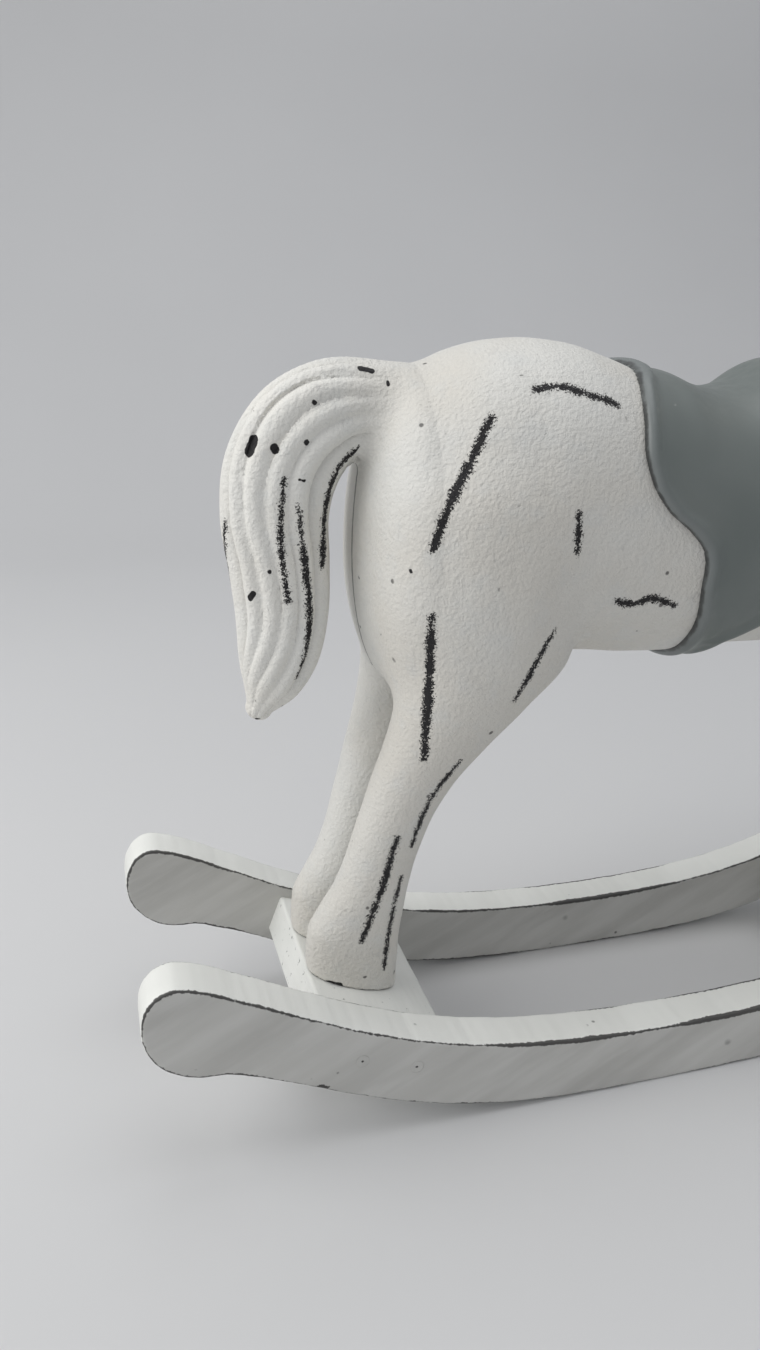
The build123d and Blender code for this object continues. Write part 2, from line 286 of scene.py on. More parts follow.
# z, x, y, half size along x, half size along y
HIND = Table([
    (8.0, -50.6, -5.35, 6.8, 3.9),
    (17.0, -50.7, -5.35, 6.9, 3.9),
    (22.0, -50.8, -5.35, 7.1, 4.0),
    (25.5, -50.6, -5.4, 7.1, 4.1),
    (29.0, -49.6, -5.5, 6.5, 4.1),
    (33.0, -48.3, -5.8, 5.6, 4.1),
    (38.0, -47.0, -6.1, 5.2, 4.2),
    (44.0, -45.4, -6.6, 5.3, 4.5),
    (50.0, -43.2, -7.2, 6.0, 5.0),
    (56.0, -40.2, -8.0, 7.4, 5.8),
    (62.0, -37.2, -8.8, 9.4, 6.9),
    (69.0, -34.6, -9.4, 12.0, 8.0),
    (77.0, -34.4, -9.6, 13.2, 8.3),
    (88.0, -35.0, -9.6, 11.5, 8.0),
])
FORE = Table([
    (8.0, 51.2, -5.35, 6.8, 3.9),
    (17.0, 51.0, -5.35, 6.8, 3.9),
    (22.0, 50.2, -5.35, 6.8, 4.0),
    (25.5, 49.2, -5.4, 6.3, 4.0),
    (29.0, 48.0, -5.5, 5.3, 4.0),
    (33.0, 46.8, -5.8, 4.6, 4.0),
    (38.0, 45.2, -6.1, 4.4, 4.1),
    (43.0, 43.4, -6.5, 5.2, 4.6),
    (47.0, 42.0, -6.8, 5.4, 4.8),
    (52.0, 40.0, -7.2, 5.4, 5.0),
    (58.0, 37.2, -7.9, 6.6, 5.8),
    (65.0, 34.2, -8.7, 8.6, 6.8),
    (73.0, 31.6, -9.2, 10.4, 7.5),
    (86.0, 30.0, -9.0, 10.6, 7.4),
])


def limb(x, y, z, tab):
    zc = np.clip(z, tab.lo, tab.hi)
    cx, cy, rx, ry = tab(zc)
    over = np.where(z > tab.hi, z - tab.hi, 0)
    return pdist((x - cx, y - cy, over), (rx, ry, 7.0), 2.15)


NECK = Path([
    # x, z, half size in the centre plane, half width
    (24.0, 84.0, 17.5, 13.5),
    (27.5, 97.0, 16.2, 11.6),
    (32.5, 109.0, 13.4, 9.0),
    (37.8, 120.0, 10.8, 7.3),
    (42.0, 129.5, 9.0, 6.5),
    (44.5, 136.5, 7.2, 5.8),
])
NOSE = Path([
    (45.5, 135.2, 8.2, 6.2),
    (51.0, 131.2, 8.6, 6.3),
    (57.0, 127.0, 7.2, 5.4),
    (63.0, 122.8, 5.7, 4.5),
    (69.0, 118.6, 5.2, 4.3),
    (71.6, 116.9, 5.0, 4.2),
])


def tube(x, y, z, path, cap0=5.0, cap1=4.0, p=2.0):
    s, n, o = path.locate(x, z)
    a, b = path.tab(s)
    c = np.where(o < 0, cap0, cap1)
    return pdist((n, y, o), (a, b, c), p)


def capsule(x, y, z, a, b, ra, rb):
    a = np.array(a, float)
    b = np.array(b, float)
    d = b - a
    L2 = float(d @ d)
    t = np.clip(((x - a[0]) * d[0] + (y - a[1]) * d[1] + (z - a[2]) * d[2]) / L2, 0, 1)
    r = ra + (rb - ra) * t
    return np.sqrt((x - a[0] - t * d[0]) ** 2 + (y - a[1] - t * d[1]) ** 2 + (z - a[2] - t * d[2]) ** 2) - r


def slat_side(x, z, sx, z0=16.15, tilt=18.8):
    """Height above the top plane of the slat at that end."""
    t = math.radians(tilt)
    if sx < 0:
        return (x + 48.55) * math.sin(t) + (z - z0) * math.cos(t)
    return -(x - 48.55) * math.sin(t) + (z - z0) * math.cos(t)


def head_plain(x, y, z):
    ya = np.abs(y)
    d = tube(x, y, z, NOSE, 5.0, 4.2, 2.1)
    # cheek, brow and poll
    d = smin(d, ball(x, ya, z, (50.5, 2.6, 129.2), (7.4, 4.6, 7.6)), 2.5)
    d = smin(d, ball(x, ya, z, (50.8, 3.6, 137.2), (4.4, 2.6, 2.4)), 2.2)
    # muzzle, lips and chin
    d = smin(d, ball(x, ya, z, (72.4, 1.9, 118.6), (3.6, 3.0, 3.6)), 1.8)
    d = smin(d, ball(x, y, z, (69.8, 0.0, 113.4), (3.0, 2.9, 2.3)), 1.6)
    # nostril with a raised rim
    rim = ball(x, ya, z, (73.4, 3.5, 119.4), (1.9, 1.1, 1.6))
    d = smin(d, rim, 0.9)
    d = smax(d, -ball(x, ya, z, (74.3, 4.3, 119.5), (1.25, 1.2, 0.85)), 0.5)
    # eye: lids around a ball
    lid = ball(x, ya, z, (55.4, 5.35, 132.2), (2.7, 1.5, 1.9))
    d = smin(d, lid, 0.9)
    d = smax(d, -ball(x, ya, z, (55.5, 7.0, 132.2), (2.1, 1.4, 1.15)), 0.35)
    d = smin(d, ball(x, ya, z, (55.5, 5.2, 132.2), (1.6, 1.45, 1.5)), 0.12)
    return d


def draw_on(f, line, n=5):
    L = np.array(line, float)
    for _ in range(n):
        fv, g = value_grad(f, L)
        L = L - np.clip(fv / np.maximum((g ** 2).sum(1), 0.05), -1.5, 1.5)[:, None] * g
    return L


MOUTH = draw_on(head_plain, [(77.0, 0.0, 114.9), (76.4, 1.6, 114.9), (74.8, 3.0, 115.0), (72.4, 4.0, 115.3), (69.8, 4.4, 115.8), (67.0, 4.6, 116.6)])


def head(x, y, z):
    d = head_plain(x, y, z)
    ya = np.abs(y)
    lip = None
    for i in range(len(MOUTH) - 1):
        r0, r1 = 0.50 - 0.05 * i, 0.45 - 0.05 * i
        c = capsule(x, ya, z, MOUTH[i], MOUTH[i + 1], r0, r1)
        lip = c if lip is None else np.minimum(lip, c)
    return smax(d, -lip, 0.3)


def ears(x, y, z):
    ya = np.abs(y)
    ear = capsule(x, ya, z, (43.8, 3.3, 139.5), (42.6, 4.1, 149.0), 2.05, 0.45)
    ear = smin(ear, ball(x, ya, z, (43.6, 3.6, 142.6), (1.9, 1.9, 4.2)), 1.2)
    hollow = ball(x, ya, z, (45.6, 4.4, 143.6), (1.7, 1.15, 4.4))
    return smax(ear, -hollow, 0.5)


def body(x, y, z):
    """The cast horse without its tail, mane and saddle; y <= 0 is its right side."""
    yy = -np.abs(y)
    d = barrel(x, yy, z)
    d = smin(d, limb(x, yy, z, HIND), 4.0 - 2.2 * sstep(-34.0, -27.0, x) * (1 - sstep(78, 88, z)))
    d = smin(d, limb(x, yy, z, FORE), 4.0)
    neck = tube(x, yy, z, NECK, 6.0, 4.0, 2.15)
    d = smin(d, neck, 6.5)
    d = smin(d, head(x, yy, z), 2.6)
    d = smin(d, ears(x, yy, z), 1.0)
    # breast muscles and the hollow between them
    d = smin(d, ball(x, yy, z, (40.0, -6.6, 84.0), (6.0, 6.4, 9.5)), 4.0)
    # feet end on the slats
    cut = np.where(x < 0, -slat_side(x, z, -1), -slat_side(x, z, 1))
    d = np.where(z < 34, smax(d, cut, 0.5), d)
    return d


# ------------------------------------------------------------------ tail
TAIL = Path([
    (-40.0, 100.2, 4.6, 4.4),
    (-44.5, 100.4, 4.9, 4.7),
    (-49.5, 100.9, 5.5, 5.1),
    (-54.3, 99.9, 6.4, 5.4),
    (-58.2, 97.0, 7.2, 5.6),
    (-60.7, 92.6, 7.4, 5.7),
    (-61.6, 87.0, 7.1, 5.6),
    (-61.0, 80.0, 6.7, 5.5),
    (-60.6, 73.5, 6.3, 5.3),
    (-61.0, 68.2, 5.7, 4.8),
    (-62.1, 63.8, 4.4, 3.8),
    (-63.8, 59.9, 1.9, 1.7),
], 90)
# Grooves between the locks: arc length along the tail, then the angle round it from the crest
GROOVES = [
    Table([(0, 0.62), (10, 0.50), (15, 0.30), (22, 0.26), (30, 0.42), (36, 0.52), (44, 0.50), (52, 0.28), (60, 0.15)]),
    Table([(0, 0.90), (9, 0.93), (13, 0.80), (16, 0.62), (20, 0.58), (25, 0.70), (30, 0.80), (35, 0.94), (43, 0.98), (49, 0.78), (54, 0.50), (60, 0.40)]),
    Table([(0, 1.28), (10, 1.36), (14, 1.26), (18, 1.19), (26, 1.19), (31, 1.24), (35, 1.34), (41, 1.42), (45, 1.34), (50, 1.12), (55, 0.86), (60, 0.80)]),
    Table([(0, 1.70), (12, 1.73), (17, 1.66), (23, 1.56), (27, 1.61), (32, 1.69), (38, 1.74), (46, 1.72), (52, 1.56), (56, 1.42), (60, 1.40)]),
    Table([(0, 2.14), (13, 2.12), (20, 2.06), (24, 2.03), (30, 2.12), (36, 2.21), (44, 2.22), (50, 2.12), (60, 2.00)]),
    Table([(0, 2.98), (60, 2.98)]),
]


def tail_f(x, y, z, want_dip=False):
    s, n, o = TAIL.locate(x, z)
    a, b = TAIL.tab(s)
    th = np.arctan2(np.abs(y) / b, -n / a)
    fade = sstep(7.0, 14.5, s) * (1 - 0.55 * sstep(TAIL.L - 9, TAIL.L, s))
    cuts = [-GROOVES[0](s)[0]] + [g(s)[0] for g in GROOVES] + [2 * math.pi - GROOVES[-1](s)[0]]
    dip = 0
    for i in range(len(cuts) - 1):
        w = cuts[i + 1] - cuts[i]
        t = (th - cuts[i]) / w
        inside = (t >= 0) & (t < 1)
        arc = w * 0.5 * (a + b)
        deep = np.minimum(0.44 * arc, 1.30)
        q = np.abs(2 * np.clip(t, 0, 1) - 1)
        soft = 0.16 / np.maximum(w, 0.3)
        ridge = np.maximum(1 - np.sqrt((1 - q) ** 2 + soft ** 2), 0) ** 2.1
        dip = np.where(inside, ridge * deep, dip)
    if want_dip:
        return dip * fade
    d = pdist((n, y, o), (a, b, np.where(o < 0, 3.0, 1.8)), 2.1)
    return d + dip * fade - 0.12 * fade


def whole(x, y, z):
    return smin(body(x, y, z), tail_f(x, y, z), 3.2)


# the joint between tail and rump, as a plane above the gap and a line in the gap below
DOCK_P = (-46.4, 106.2)
DOCK_N = (-0.8976, 0.4409)


def tail_side(V):
    plane = (V[:, 0] - DOCK_P[0]) * DOCK_N[0] + (V[:, 2] - DOCK_P[1]) * DOCK_N[1]
    return np.where(V[:, 2] > 94.0, plane > 1e-4, (V[:, 0] < -52.3) & (V[:, 2] > 50))


def dock_cut(ob, keep_tail):
    """Splits the cast form at the dock and closes the cut."""
    bm = bmesh.new()
    bm.from_mesh(ob.data)
    near = [v for v in bm.verts if v.co.z > 0.0925 and v.co.x < -0.036]
    tag = set(near)
    geom = near + [e for e in bm.edges if e.verts[0] in tag and e.verts[1] in tag] + [f for f in bm.faces if all(v in tag for v in f.verts)]
    bmesh.ops.bisect_plane(bm, geom=geom, dist=1e-7, plane_co=(DOCK_P[0] * MM, 0, DOCK_P[1] * MM), plane_no=(DOCK_N[0], 0, DOCK_N[1]))
    C = np.array([f.calc_center_median()[:] for f in bm.faces]) / MM
    drop = tail_side(C) != keep_tail
    bmesh.ops.delete(bm, geom=[f for f, d in zip(bm.faces[:], drop) if d], context="FACES")
    loose = [v for v in bm.verts if not v.link_faces]
    bmesh.ops.delete(bm, geom=loose, context="VERTS")
    cap(bm)
    bm.to_mesh(ob.data)
    bm.free()
    ob.data.update()


H = 0.52
V, Q = nets(whole, (-61, -20, 12), (80, 1.6, 152), H)
keep = (V[:, 0] > -57) | (V[:, 2] < 50)
Q = Q[keep[Q].all(1)]
right = make_mesh("body_right_half", V, Q)


def cap(bm):
    """Closes each open loop with flat, unsmoothed faces of its own."""
    edges = [e for e in bm.edges if e.is_boundary]
    if not edges:
        return
    r = bmesh.ops.holes_fill(bm, edges=edges, sides=0)
    fill = r["faces"]
    if fill:
        bmesh.ops.split(bm, geom=fill)
        fill = [f for f in bm.faces if len(f.verts) > 4]
        tri = bmesh.ops.triangulate(bm, faces=fill)
        for f in tri["faces"]:
            f.smooth = False


def cut_half(ob):
    """Keeps the right side of the centre plane and closes it."""
    bm = bmesh.new()
    bm.from_mesh(ob.data)
    geom = bm.verts[:] + bm.edges[:] + bm.faces[:]
    bmesh.ops.bisect_plane(bm, geom=geom, dist=1e-7, plane_co=(0, -0.00002, 0), plane_no=(0, 1, 0), clear_outer=True, clear_inner=False)
    cap(bm)
    bm.to_mesh(ob.data)
    bm.free()
    ob.data.update()


ht = 0.27
V, Q = nets(whole, (-71, -8.4, 55), (-38, 8.4, 110.5), ht)
tail = make_mesh("tail", V, Q)
dock_cut(tail, True)

dock_cut(right, False)
cut_half(right)

def form_normals(ob, f):
    """Shading normals straight from the form, so facets and joints don't show."""
    me = ob.data
    P = coords(ob)
    fv, g = value_grad(f, P, 0.12)
    N = g / np.maximum(np.linalg.norm(g, axis=1), 1e-6)[:, None]
    loops = np.zeros(len(me.loops), np.int32)
    me.loops.foreach_get("vertex_index", loops)
    tot = np.zeros(len(me.polygons), np.int32)
    me.polygons.foreach_get("loop_total", tot)
    fn = np.zeros(len(me.polygons) * 3)
    me.polygons.foreach_get("normal", fn)
    fn = np.repeat(fn.reshape(-1, 3), tot, axis=0)
    sm = np.zeros(len(me.polygons), bool)
    me.polygons.foreach_get("use_smooth", sm)
    sm = np.repeat(sm, tot)
    LN = N[loops]
    off = (LN * fn).sum(1) < 0.25
    LN = np.where((off | ~sm)[:, None], fn, LN)
    me.normals_split_custom_set(LN.tolist())


def refine(ob, f, want, cuts=1):
    """Splits the faces picked by want(points) and draws the new points back onto the form."""
    bm = bmesh.new()
    bm.from_mesh(ob.data)
    P = np.array([v.co[:] for v in bm.verts]) / MM
    w = want(P)
    bm.verts.index_update()
    edges = [e for e in bm.edges if w[e.verts[0].index] and w[e.verts[1].index] and all(fc.smooth for fc in e.link_faces)]
    old = len(bm.verts)
    bmesh.ops.subdivide_edges(bm, edges=edges, cuts=cuts, use_grid_fill=True)
    bm.verts.ensure_lookup_table()
    new = bm.verts[old:]
    if new:
        Q_ = np.array([v.co[:] for v in new]) / MM
        edge = np.abs(Q_[:, 1] + 0.02) < 0.004
        plane = (Q_[:, 0] - DOCK_P[0]) * DOCK_N[0] + (Q_[:, 2] - DOCK_P[1]) * DOCK_N[1]
        fixed = (edge & (ob is not tail)) | ((np.abs(plane) < 0.01) & (Q_[:, 2] > 92))
        for _ in range(2):
            fv, g = value_grad(f, Q_)
            step = np.clip(fv / np.maximum((g ** 2).sum(1), 0.05), -0.2, 0.2)
            step = np.where(fixed, 0, step)
            Q_ = Q_ - step[:, None] * g
        for v, q in zip(new, Q_ * MM):
            v.co = q
    bm.to_mesh(ob.data)
    bm.free()
    ob.data.update()


# ------------------------------------------------------------------ saddle cloth
# The cloth's rear and front edges as x for each height
REAR_EDGE = Table([(58.0, -4.2), (65.0, -4.5), (67.0, -4.8), (70.0, -5.4), (73.9, -5.9), (78.9, -7.0), (82.4, -7.3), (84.2, -7.9), (86.6, -10.2), (89.6, -14.2), (93.4, -17.0), (97.0, -18.0), (101.6, -17.5), (105.0, -16.4), (106.5, -15.0), (107.6, -13.9), (115.0, -13.5)])
FRONT_EDGE = Table([(58.0, -0.4), (66.0, 0.0), (69.2, 1.0), (71.0, 3.2), (73.0, 5.7), (76.0, 8.6), (80.0, 10.8), (83.5, 12.2), (86.0, 14.2), (89.5, 18.0), (93.4, 20.8), (97.0, 21.8), (101.6, 21.2), (105.0, 19.6), (107.0, 17.6), (115.0, 16.5)])


def cloth_edge(x, z):
    """How far inside the cloth's outline a point is."""
    e, = REAR_EDGE(z)
    f, = FRONT_EDGE(z)
    # slope of each edge, so that the figure is a true distance
    e2, = REAR_EDGE(z + 0.3)
    f2, = FRONT_EDGE(z + 0.3)
    a = (x - e) / np.sqrt(1 + ((e2 - e) / 0.3) ** 2)
    b = (f - x) / np.sqrt(1 + ((f2 - f) / 0.3) ** 2)
    return np.minimum(a, b)


def saddle(x, y, z):
    inside = cloth_edge(x, z)
    roll = 0.40 * np.exp(-((inside - 0.95) / 0.78) ** 2) - 0.10 * np.exp(-((inside - 2.7) / 0.9) ** 2)
    t = 0.95 + roll - 0.35 * (1 - sstep(65, 73, z))
    base = barrel(x, y, z)
    # the seat dips between cantle and pommel
    seat = sstep(95, 103.5, z) * (0.5 * np.exp(-((x + 8.2) / 2.8) ** 2) + 1.9 * np.exp(-((x - 12.0) / 5.0) ** 2))
    d = smax(base - t - seat, -inside, 0.7)
    d = smax(d, -(base + 0.25), 0.1)
    slit = 0.22 - np.abs(y)
    return np.where(z < 75, smax(d, slit, 0.15), d)


V, Q = nets(saddle, (-20, -20.5, 60), (24, 20.5, 110.5), 0.42)
cloth = make_mesh("saddle_cloth", V, Q)

# ------------------------------------------------------------------ mane
CREST = Path([
    (15.5, 105.0, 1, 1), (17.5, 111.0, 1, 1), (21.5, 120.0, 1, 1), (27.0, 130.0, 1, 1),
    (33.5, 138.0, 1, 1), (39.5, 142.0, 1, 1), (45.0, 142.2, 1, 1), (49.0, 139.8, 1, 1), (51.6, 136.6, 1, 1),
], 80)


def mane_f(x, y, z):
    s, n, o = CREST.locate(x, z)
    # n is positive outside the crest, negative over the neck
    depth = -n
    lock = s / 4.3 + depth * 0.07
    ph = lock - np.floor(lock)
    width = 8.6 - 6.4 * sstep(CREST.L - 21, CREST.L - 8, s) - 3.5 * (1 - sstep(0, 9, s))
    reach = width + 1.6 * np.sin(ph * math.pi) - 0.8
    base = smin(tube(x, y, z, NECK, 6.0, 4.0, 2.15), head(x, y, z), 2.6)
    ridge = np.abs(np.sin(lock * math.pi))
    fine = 0.12 * np.sin(lock * 6 * math.pi)
    t = 0.75 + 0.75 * ridge ** 0.6 + fine
    sheet = base - t
    crest = np.hypot(y / 1.0, np.minimum(n + 1.6, 99)) - (2.3 + 0.5 * ridge)
    d = smin(sheet, np.where(n > -6, crest, 9), 1.4)
    d = smax(d, depth - reach, 0.8)
    d = smax(d, n - 1.2, 0.8)
    d = smax(d, np.abs(o) - 0.5, 0.8)
    return d


def mane_piece(x, y, z):
    return smax(mane_f(x, y, z), -(body(x, y, z) + 0.15), 0.15)


V, Q = nets(mane_piece, (10, -11, 96), (58, 11, 147), 0.45)
mane = make_mesh("mane", V, Q)

# ------------------------------------------------------------------ rockers
def rb(x):
    return 0.000764 * x**2 + 1.0974e-6 * x**4 - 1.234e-10 * x**6


def rt(x):
    return 10.13 + 0.001723 * x**2 + 7.684e-7 * x**4 - 8.057e-11 * x**6


def catmull(points, n):
    P = np.array(points, float)
    t = np.r_[0, np.cumsum(np.hypot(*np.diff(P, axis=0).T))]
    s = np.linspace(0, t[-1], n)
    return np.stack([Path._smooth(t, P[:, i], s) for i in (0, 1)], 1)


bulb = [(-66, rb(66)), (-69.8, 15.35), (-71.6, 16.05), (-73.8, 16.15), (-76.6, 16.5), (-79.2, 17.8), (-81.3, 19.9), (-82.5, 22.4),
        (-82.85, 25.0), (-82.4, 27.6), (-81.1, 29.7), (-79.0, 30.8), (-76.6, 30.45), (-74.0, 29.5), (-70, rt(70) + 0.1)]
xs = np.linspace(-66, 66, 265)
bul = catmull(bulb, 110)
outline = np.concatenate([
    np.stack([xs, rb(xs)], 1)[:-1],
    (bul * [-1, 1])[:-1],
    np.stack([np.linspace(70, -70, 281), rt(np.linspace(70, -70, 281))], 1)[:-1],
    bul[::-1][:-1],
])
# even spacing round the outline
c = np.r_[0, np.cumsum(np.hypot(*np.diff(np.r_[outline, outline[:1]], axis=0).T))]
N_OUT = 720
s = np.linspace(0, c[-1], N_OUT, endpoint=False)
closed = np.r_[outline, outline[:1]]
outline = np.stack([np.interp(s, c, closed[:, i]) for i in (0, 1)], 1)
for _ in range(6):
    outline = 0.5 * outline + 0.25 * (np.roll(outline, 1, 0) + np.roll(outline, -1, 0))
tan = np.roll(outline, -1, 0) - np.roll(outline, 1, 0)
tan /= np.hypot(*tan.T)[:, None]
nrm = np.stack([tan[:, 1], -tan[:, 0]], 1)   # outward for an anticlockwise outline


def wobble(s, amp, period, phase):
    """Smooth closed noise along the outline."""
    out = 0
    k0 = c[-1] / period
    for i, m in enumerate((1.0, 1.7, 2.9, 4.7)):
        out = out + np.sin(2 * math.pi * round(k0 * m) * s / c[-1] + phase * (i + 1.3)) / m
    return amp * out / 2


def rocker(name, y_out, y_in, phase):
    """Rings of points: out over one face's border, round the arris, across the rim, and back."""
    R = 0.45
    rings = []          # inset, y, signed distance from the arris (negative on the faces)
    for y_face, y_dir in ((y_out, 1 if y_in > y_out else -1), (y_in, 1 if y_out > y_in else -1)):
        part = []
        for ins in (2.4, 1.6, 1.1, 0.8, 0.6):
            part.append((ins, y_face, -(ins - 0.13)))
        for k in range(1, 6):
            a = k / 6 * math.pi / 2
            part.append((R * (1 - math.sin(a)), y_face + y_dir * R * (1 - math.cos(a)), (a - math.pi / 4) * R))
        for dy in (0.6, 0.9, 1.3, 2.0):
            part.append((0.0, y_face + y_dir * dy, dy - 0.13))
        rings.append(part)
    seq = rings[0] + rings[1][::-1]
    verts, att = [], []
    for ins, y, a in seq:
        edge = 0.06 * wobble(s, 1, 9, phase) + 0.03 * wobble(s, 1, 2.3, phase + 2)
        nudge = edge * (1 if ins < 0.7 else 0)
        P = outline - nrm * (ins + nudge[:, None] * 0 + 0) + nrm * nudge[:, None]
        verts.append(np.stack([P[:, 0], np.full(N_OUT, y), P[:, 1]], 1))
        att.append(np.full(N_OUT, a))
    Vr = np.concatenate(verts)
    quads = []
    i = np.arange(N_OUT)
    j = (i + 1) % N_OUT
    for k in range(len(seq) - 1):
        quads.append(np.stack([k * N_OUT + i, k * N_OUT + j, (k + 1) * N_OUT + j, (k + 1) * N_OUT + i], 1))
    Qr = np.concatenate(quads)
    ob = make_mesh(name, Vr, Qr)
    attribute(ob, "arris", np.concatenate(att))
    attribute(ob, "upper", np.tile(sstep(-0.1, 0.6, nrm[:, 1]), len(seq)))
    bm = bmesh.new()
    bm.from_mesh(ob.data)
    bm.verts.ensure_lookup_table()
    n = len(bm.verts)
    for first in (0, n - N_OUT):
        loop = [bm.edges.get((bm.verts[first + a], bm.verts[first + b])) for a, b in zip(i, j)]
        bmesh.ops.triangle_fill(bm, use_beauty=True, edges=loop)
    bmesh.ops.recalc_face_normals(bm, faces=bm.faces[:])
    for f in bm.faces:
        f.smooth = True
    bm.to_mesh(ob.data)
    bm.free()
    return ob


rocker_r = rocker("rocker_right", -20.965, -14.5, 0.3)
rocker_l = rocker("rocker_left", 20.965, 14.5, 2.1)


# ------------------------------------------------------------------ slats
def slat(name, sx):
    """A board with eased edges in its own frame: u along the slat, v across, w down."""
    L, W, T, R = 19.6, 29.0, 6.5, 0.5
    t = math.radians(18.8)
    origin = np.array([sx * 48.55, 0, 16.15])
    ex = np.array([-sx * math.cos(t), 0, -math.sin(t)])
    ey = np.array([0, 1.0, 0])
    ez = np.array([-sx * math.sin(t), 0, math.cos(t)])
    bm = bmesh.new()
    bmesh.ops.create_cube(bm, size=1)
    for v in bm.verts:
        v.co = Vector((v.co.x * L, v.co.y * W, v.co.z * T - T / 2))
    bmesh.ops.bevel(bm, geom=[e for e in bm.edges if abs((e.verts[0].co - e.verts[1].co).y) > 1], offset=0.5, segments=4, profile=0.5, affect="EDGES")
    bmesh.ops.subdivide_edges(bm, edges=[e for e in bm.edges if abs((e.verts[0].co - e.verts[1].co).y) > 1], cuts=40, use_grid_fill=True)
    bmesh.ops.recalc_face_normals(bm, faces=bm.faces[:])
    me = bpy.data.meshes.new(name)
    for v in bm.verts:
        u_, v_, w_ = v.co
        wob = 0.05 * math.sin(v_ * 0.8 + sx * 2) * (1 if w_ > -1 else 0)
        P = origin + ex * u_ + ey * v_ + ez * (w_ + wob * 0.6)
        v.co = Vector(P * MM)
    if np.linalg.det(np.stack([ex, ey, ez])) < 0:
        bmesh.ops.reverse_faces(bm, faces=bm.faces[:])
    for fc in bm.faces:
        fc.smooth = True
    bm.to_mesh(me)
    bm.free()
    ob = bpy.data.objects.new(name, me)
    bpy.context.scene.collection.objects.link(ob)
    ob.data.set_sharp_from_angle(angle=math.radians(50))
    co = coords(ob)
    w = (co - origin) @ ez
    u = (co - origin) @ ex
    d = np.minimum(L / 2 - np.abs(u), np.minimum(-w, T + w)) 
    attribute(ob, "rim", np.maximum(d, 0))
    return ob


slat_r = slat("rear_slat", -1)
slat_f = slat("front_slat", 1)

# ------------------------------------------------------------------ materials
def material(name):
    m = bpy.data.materials.new(name)
    m.use_nodes = True
    nt = m.node_tree
    nt.nodes.clear()
    out = nt.nodes.new("ShaderNodeOutputMaterial")
    b = nt.nodes.new("ShaderNodeBsdfPrincipled")
    nt.links.new(b.outputs[0], out.inputs[0])
    return m, nt, b


class NT:
    """Short hand for building node trees."""

    def __init__(self, nt):
        self.nt = nt

    def new(self, kind, **kw):
        n = self.nt.nodes.new(kind)
        for k, v in kw.items():
            setattr(n, k, v)
        return n

    def link(self, a, b):
        self.nt.links.new(a, b)

    def math(self, op, a, b=None, clamp=False):
        n = self.new("ShaderNodeMath", operation=op, use_clamp=clamp)
        for i, v in enumerate((a, b)):
            if v is None:
                continue
            if isinstance(v, (int, float)):
                n.inputs[i].default_value = v
            else:
                self.link(v, n.inputs[i])
        return n.outputs[0]

    def mapr(self, v, a, b, c=0.0, d=1.0, smooth=True):
        n = self.new("ShaderNodeMapRange", interpolation_type="SMOOTHSTEP" if smooth else "LINEAR")
        self.link(v, n.inputs[0])
        for i, q in enumerate((a, b, c, d)):
            n.inputs[i + 1].default_value = q
        return n.outputs[0]

    def mix(self, f, a, b):
        n = self.new("ShaderNodeMix", data_type="RGBA")
        for i, v in ((0, f), (6, a), (7, b)):
            if isinstance(v, (int, float)):
                n.inputs[i].default_value = v
            elif isinstance(v, tuple):
                n.inputs[i].default_value = (*v, 1)
            else:
                self.link(v, n.inputs[i])
        return n.outputs[2]

    def pos(self, scale=(1, 1, 1), rot=(0, 0, 0)):
        tc = self.new("ShaderNodeTexCoord")
        mp = self.new("ShaderNodeMapping")
        self.link(tc.outputs["Object"], mp.inputs[0])
        mp.inputs["Scale"].default_value = scale
        mp.inputs["Rotation"].default_value = rot
        return mp.outputs[0]

    def noise(self, vec, scale, detail=3, rough=0.55, dist=0.0):
        n = self.new("ShaderNodeTexNoise")
        self.link(vec, n.inputs["Vector"])
        n.inputs["Scale"].default_value = scale
        n.inputs["Detail"].default_value = detail
        n.inputs["Roughness"].default_value = rough
        n.inputs["Distortion"].default_value = dist
        return n.outputs["Fac"]

    def voronoi(self, vec, scale, feature="F1"):
        n = self.new("ShaderNodeTexVoronoi", feature=feature)
        self.link(vec, n.inputs["Vector"])
        n.inputs["Scale"].default_value = scale
        return n.outputs["Distance"]

    def attr(self, name):
        n = self.new("ShaderNodeAttribute", attribute_name=name)
        return n.outputs["Fac"]

    def bump(self, h, strength, distance, normal=None):
        n = self.new("ShaderNodeBump")
        n.inputs["Strength"].default_value = strength
        n.inputs["Distance"].default_value = distance
        self.link(h, n.inputs["Height"])
        if normal is not None:
            self.link(normal, n.inputs["Normal"])
        return n.outputs[0]


WHITE = (0.745, 0.737, 0.700)
WARM = (0.70, 0.675, 0.62)
COOL = (0.66, 0.67, 0.655)
BLACK = (0.014, 0.013, 0.014)


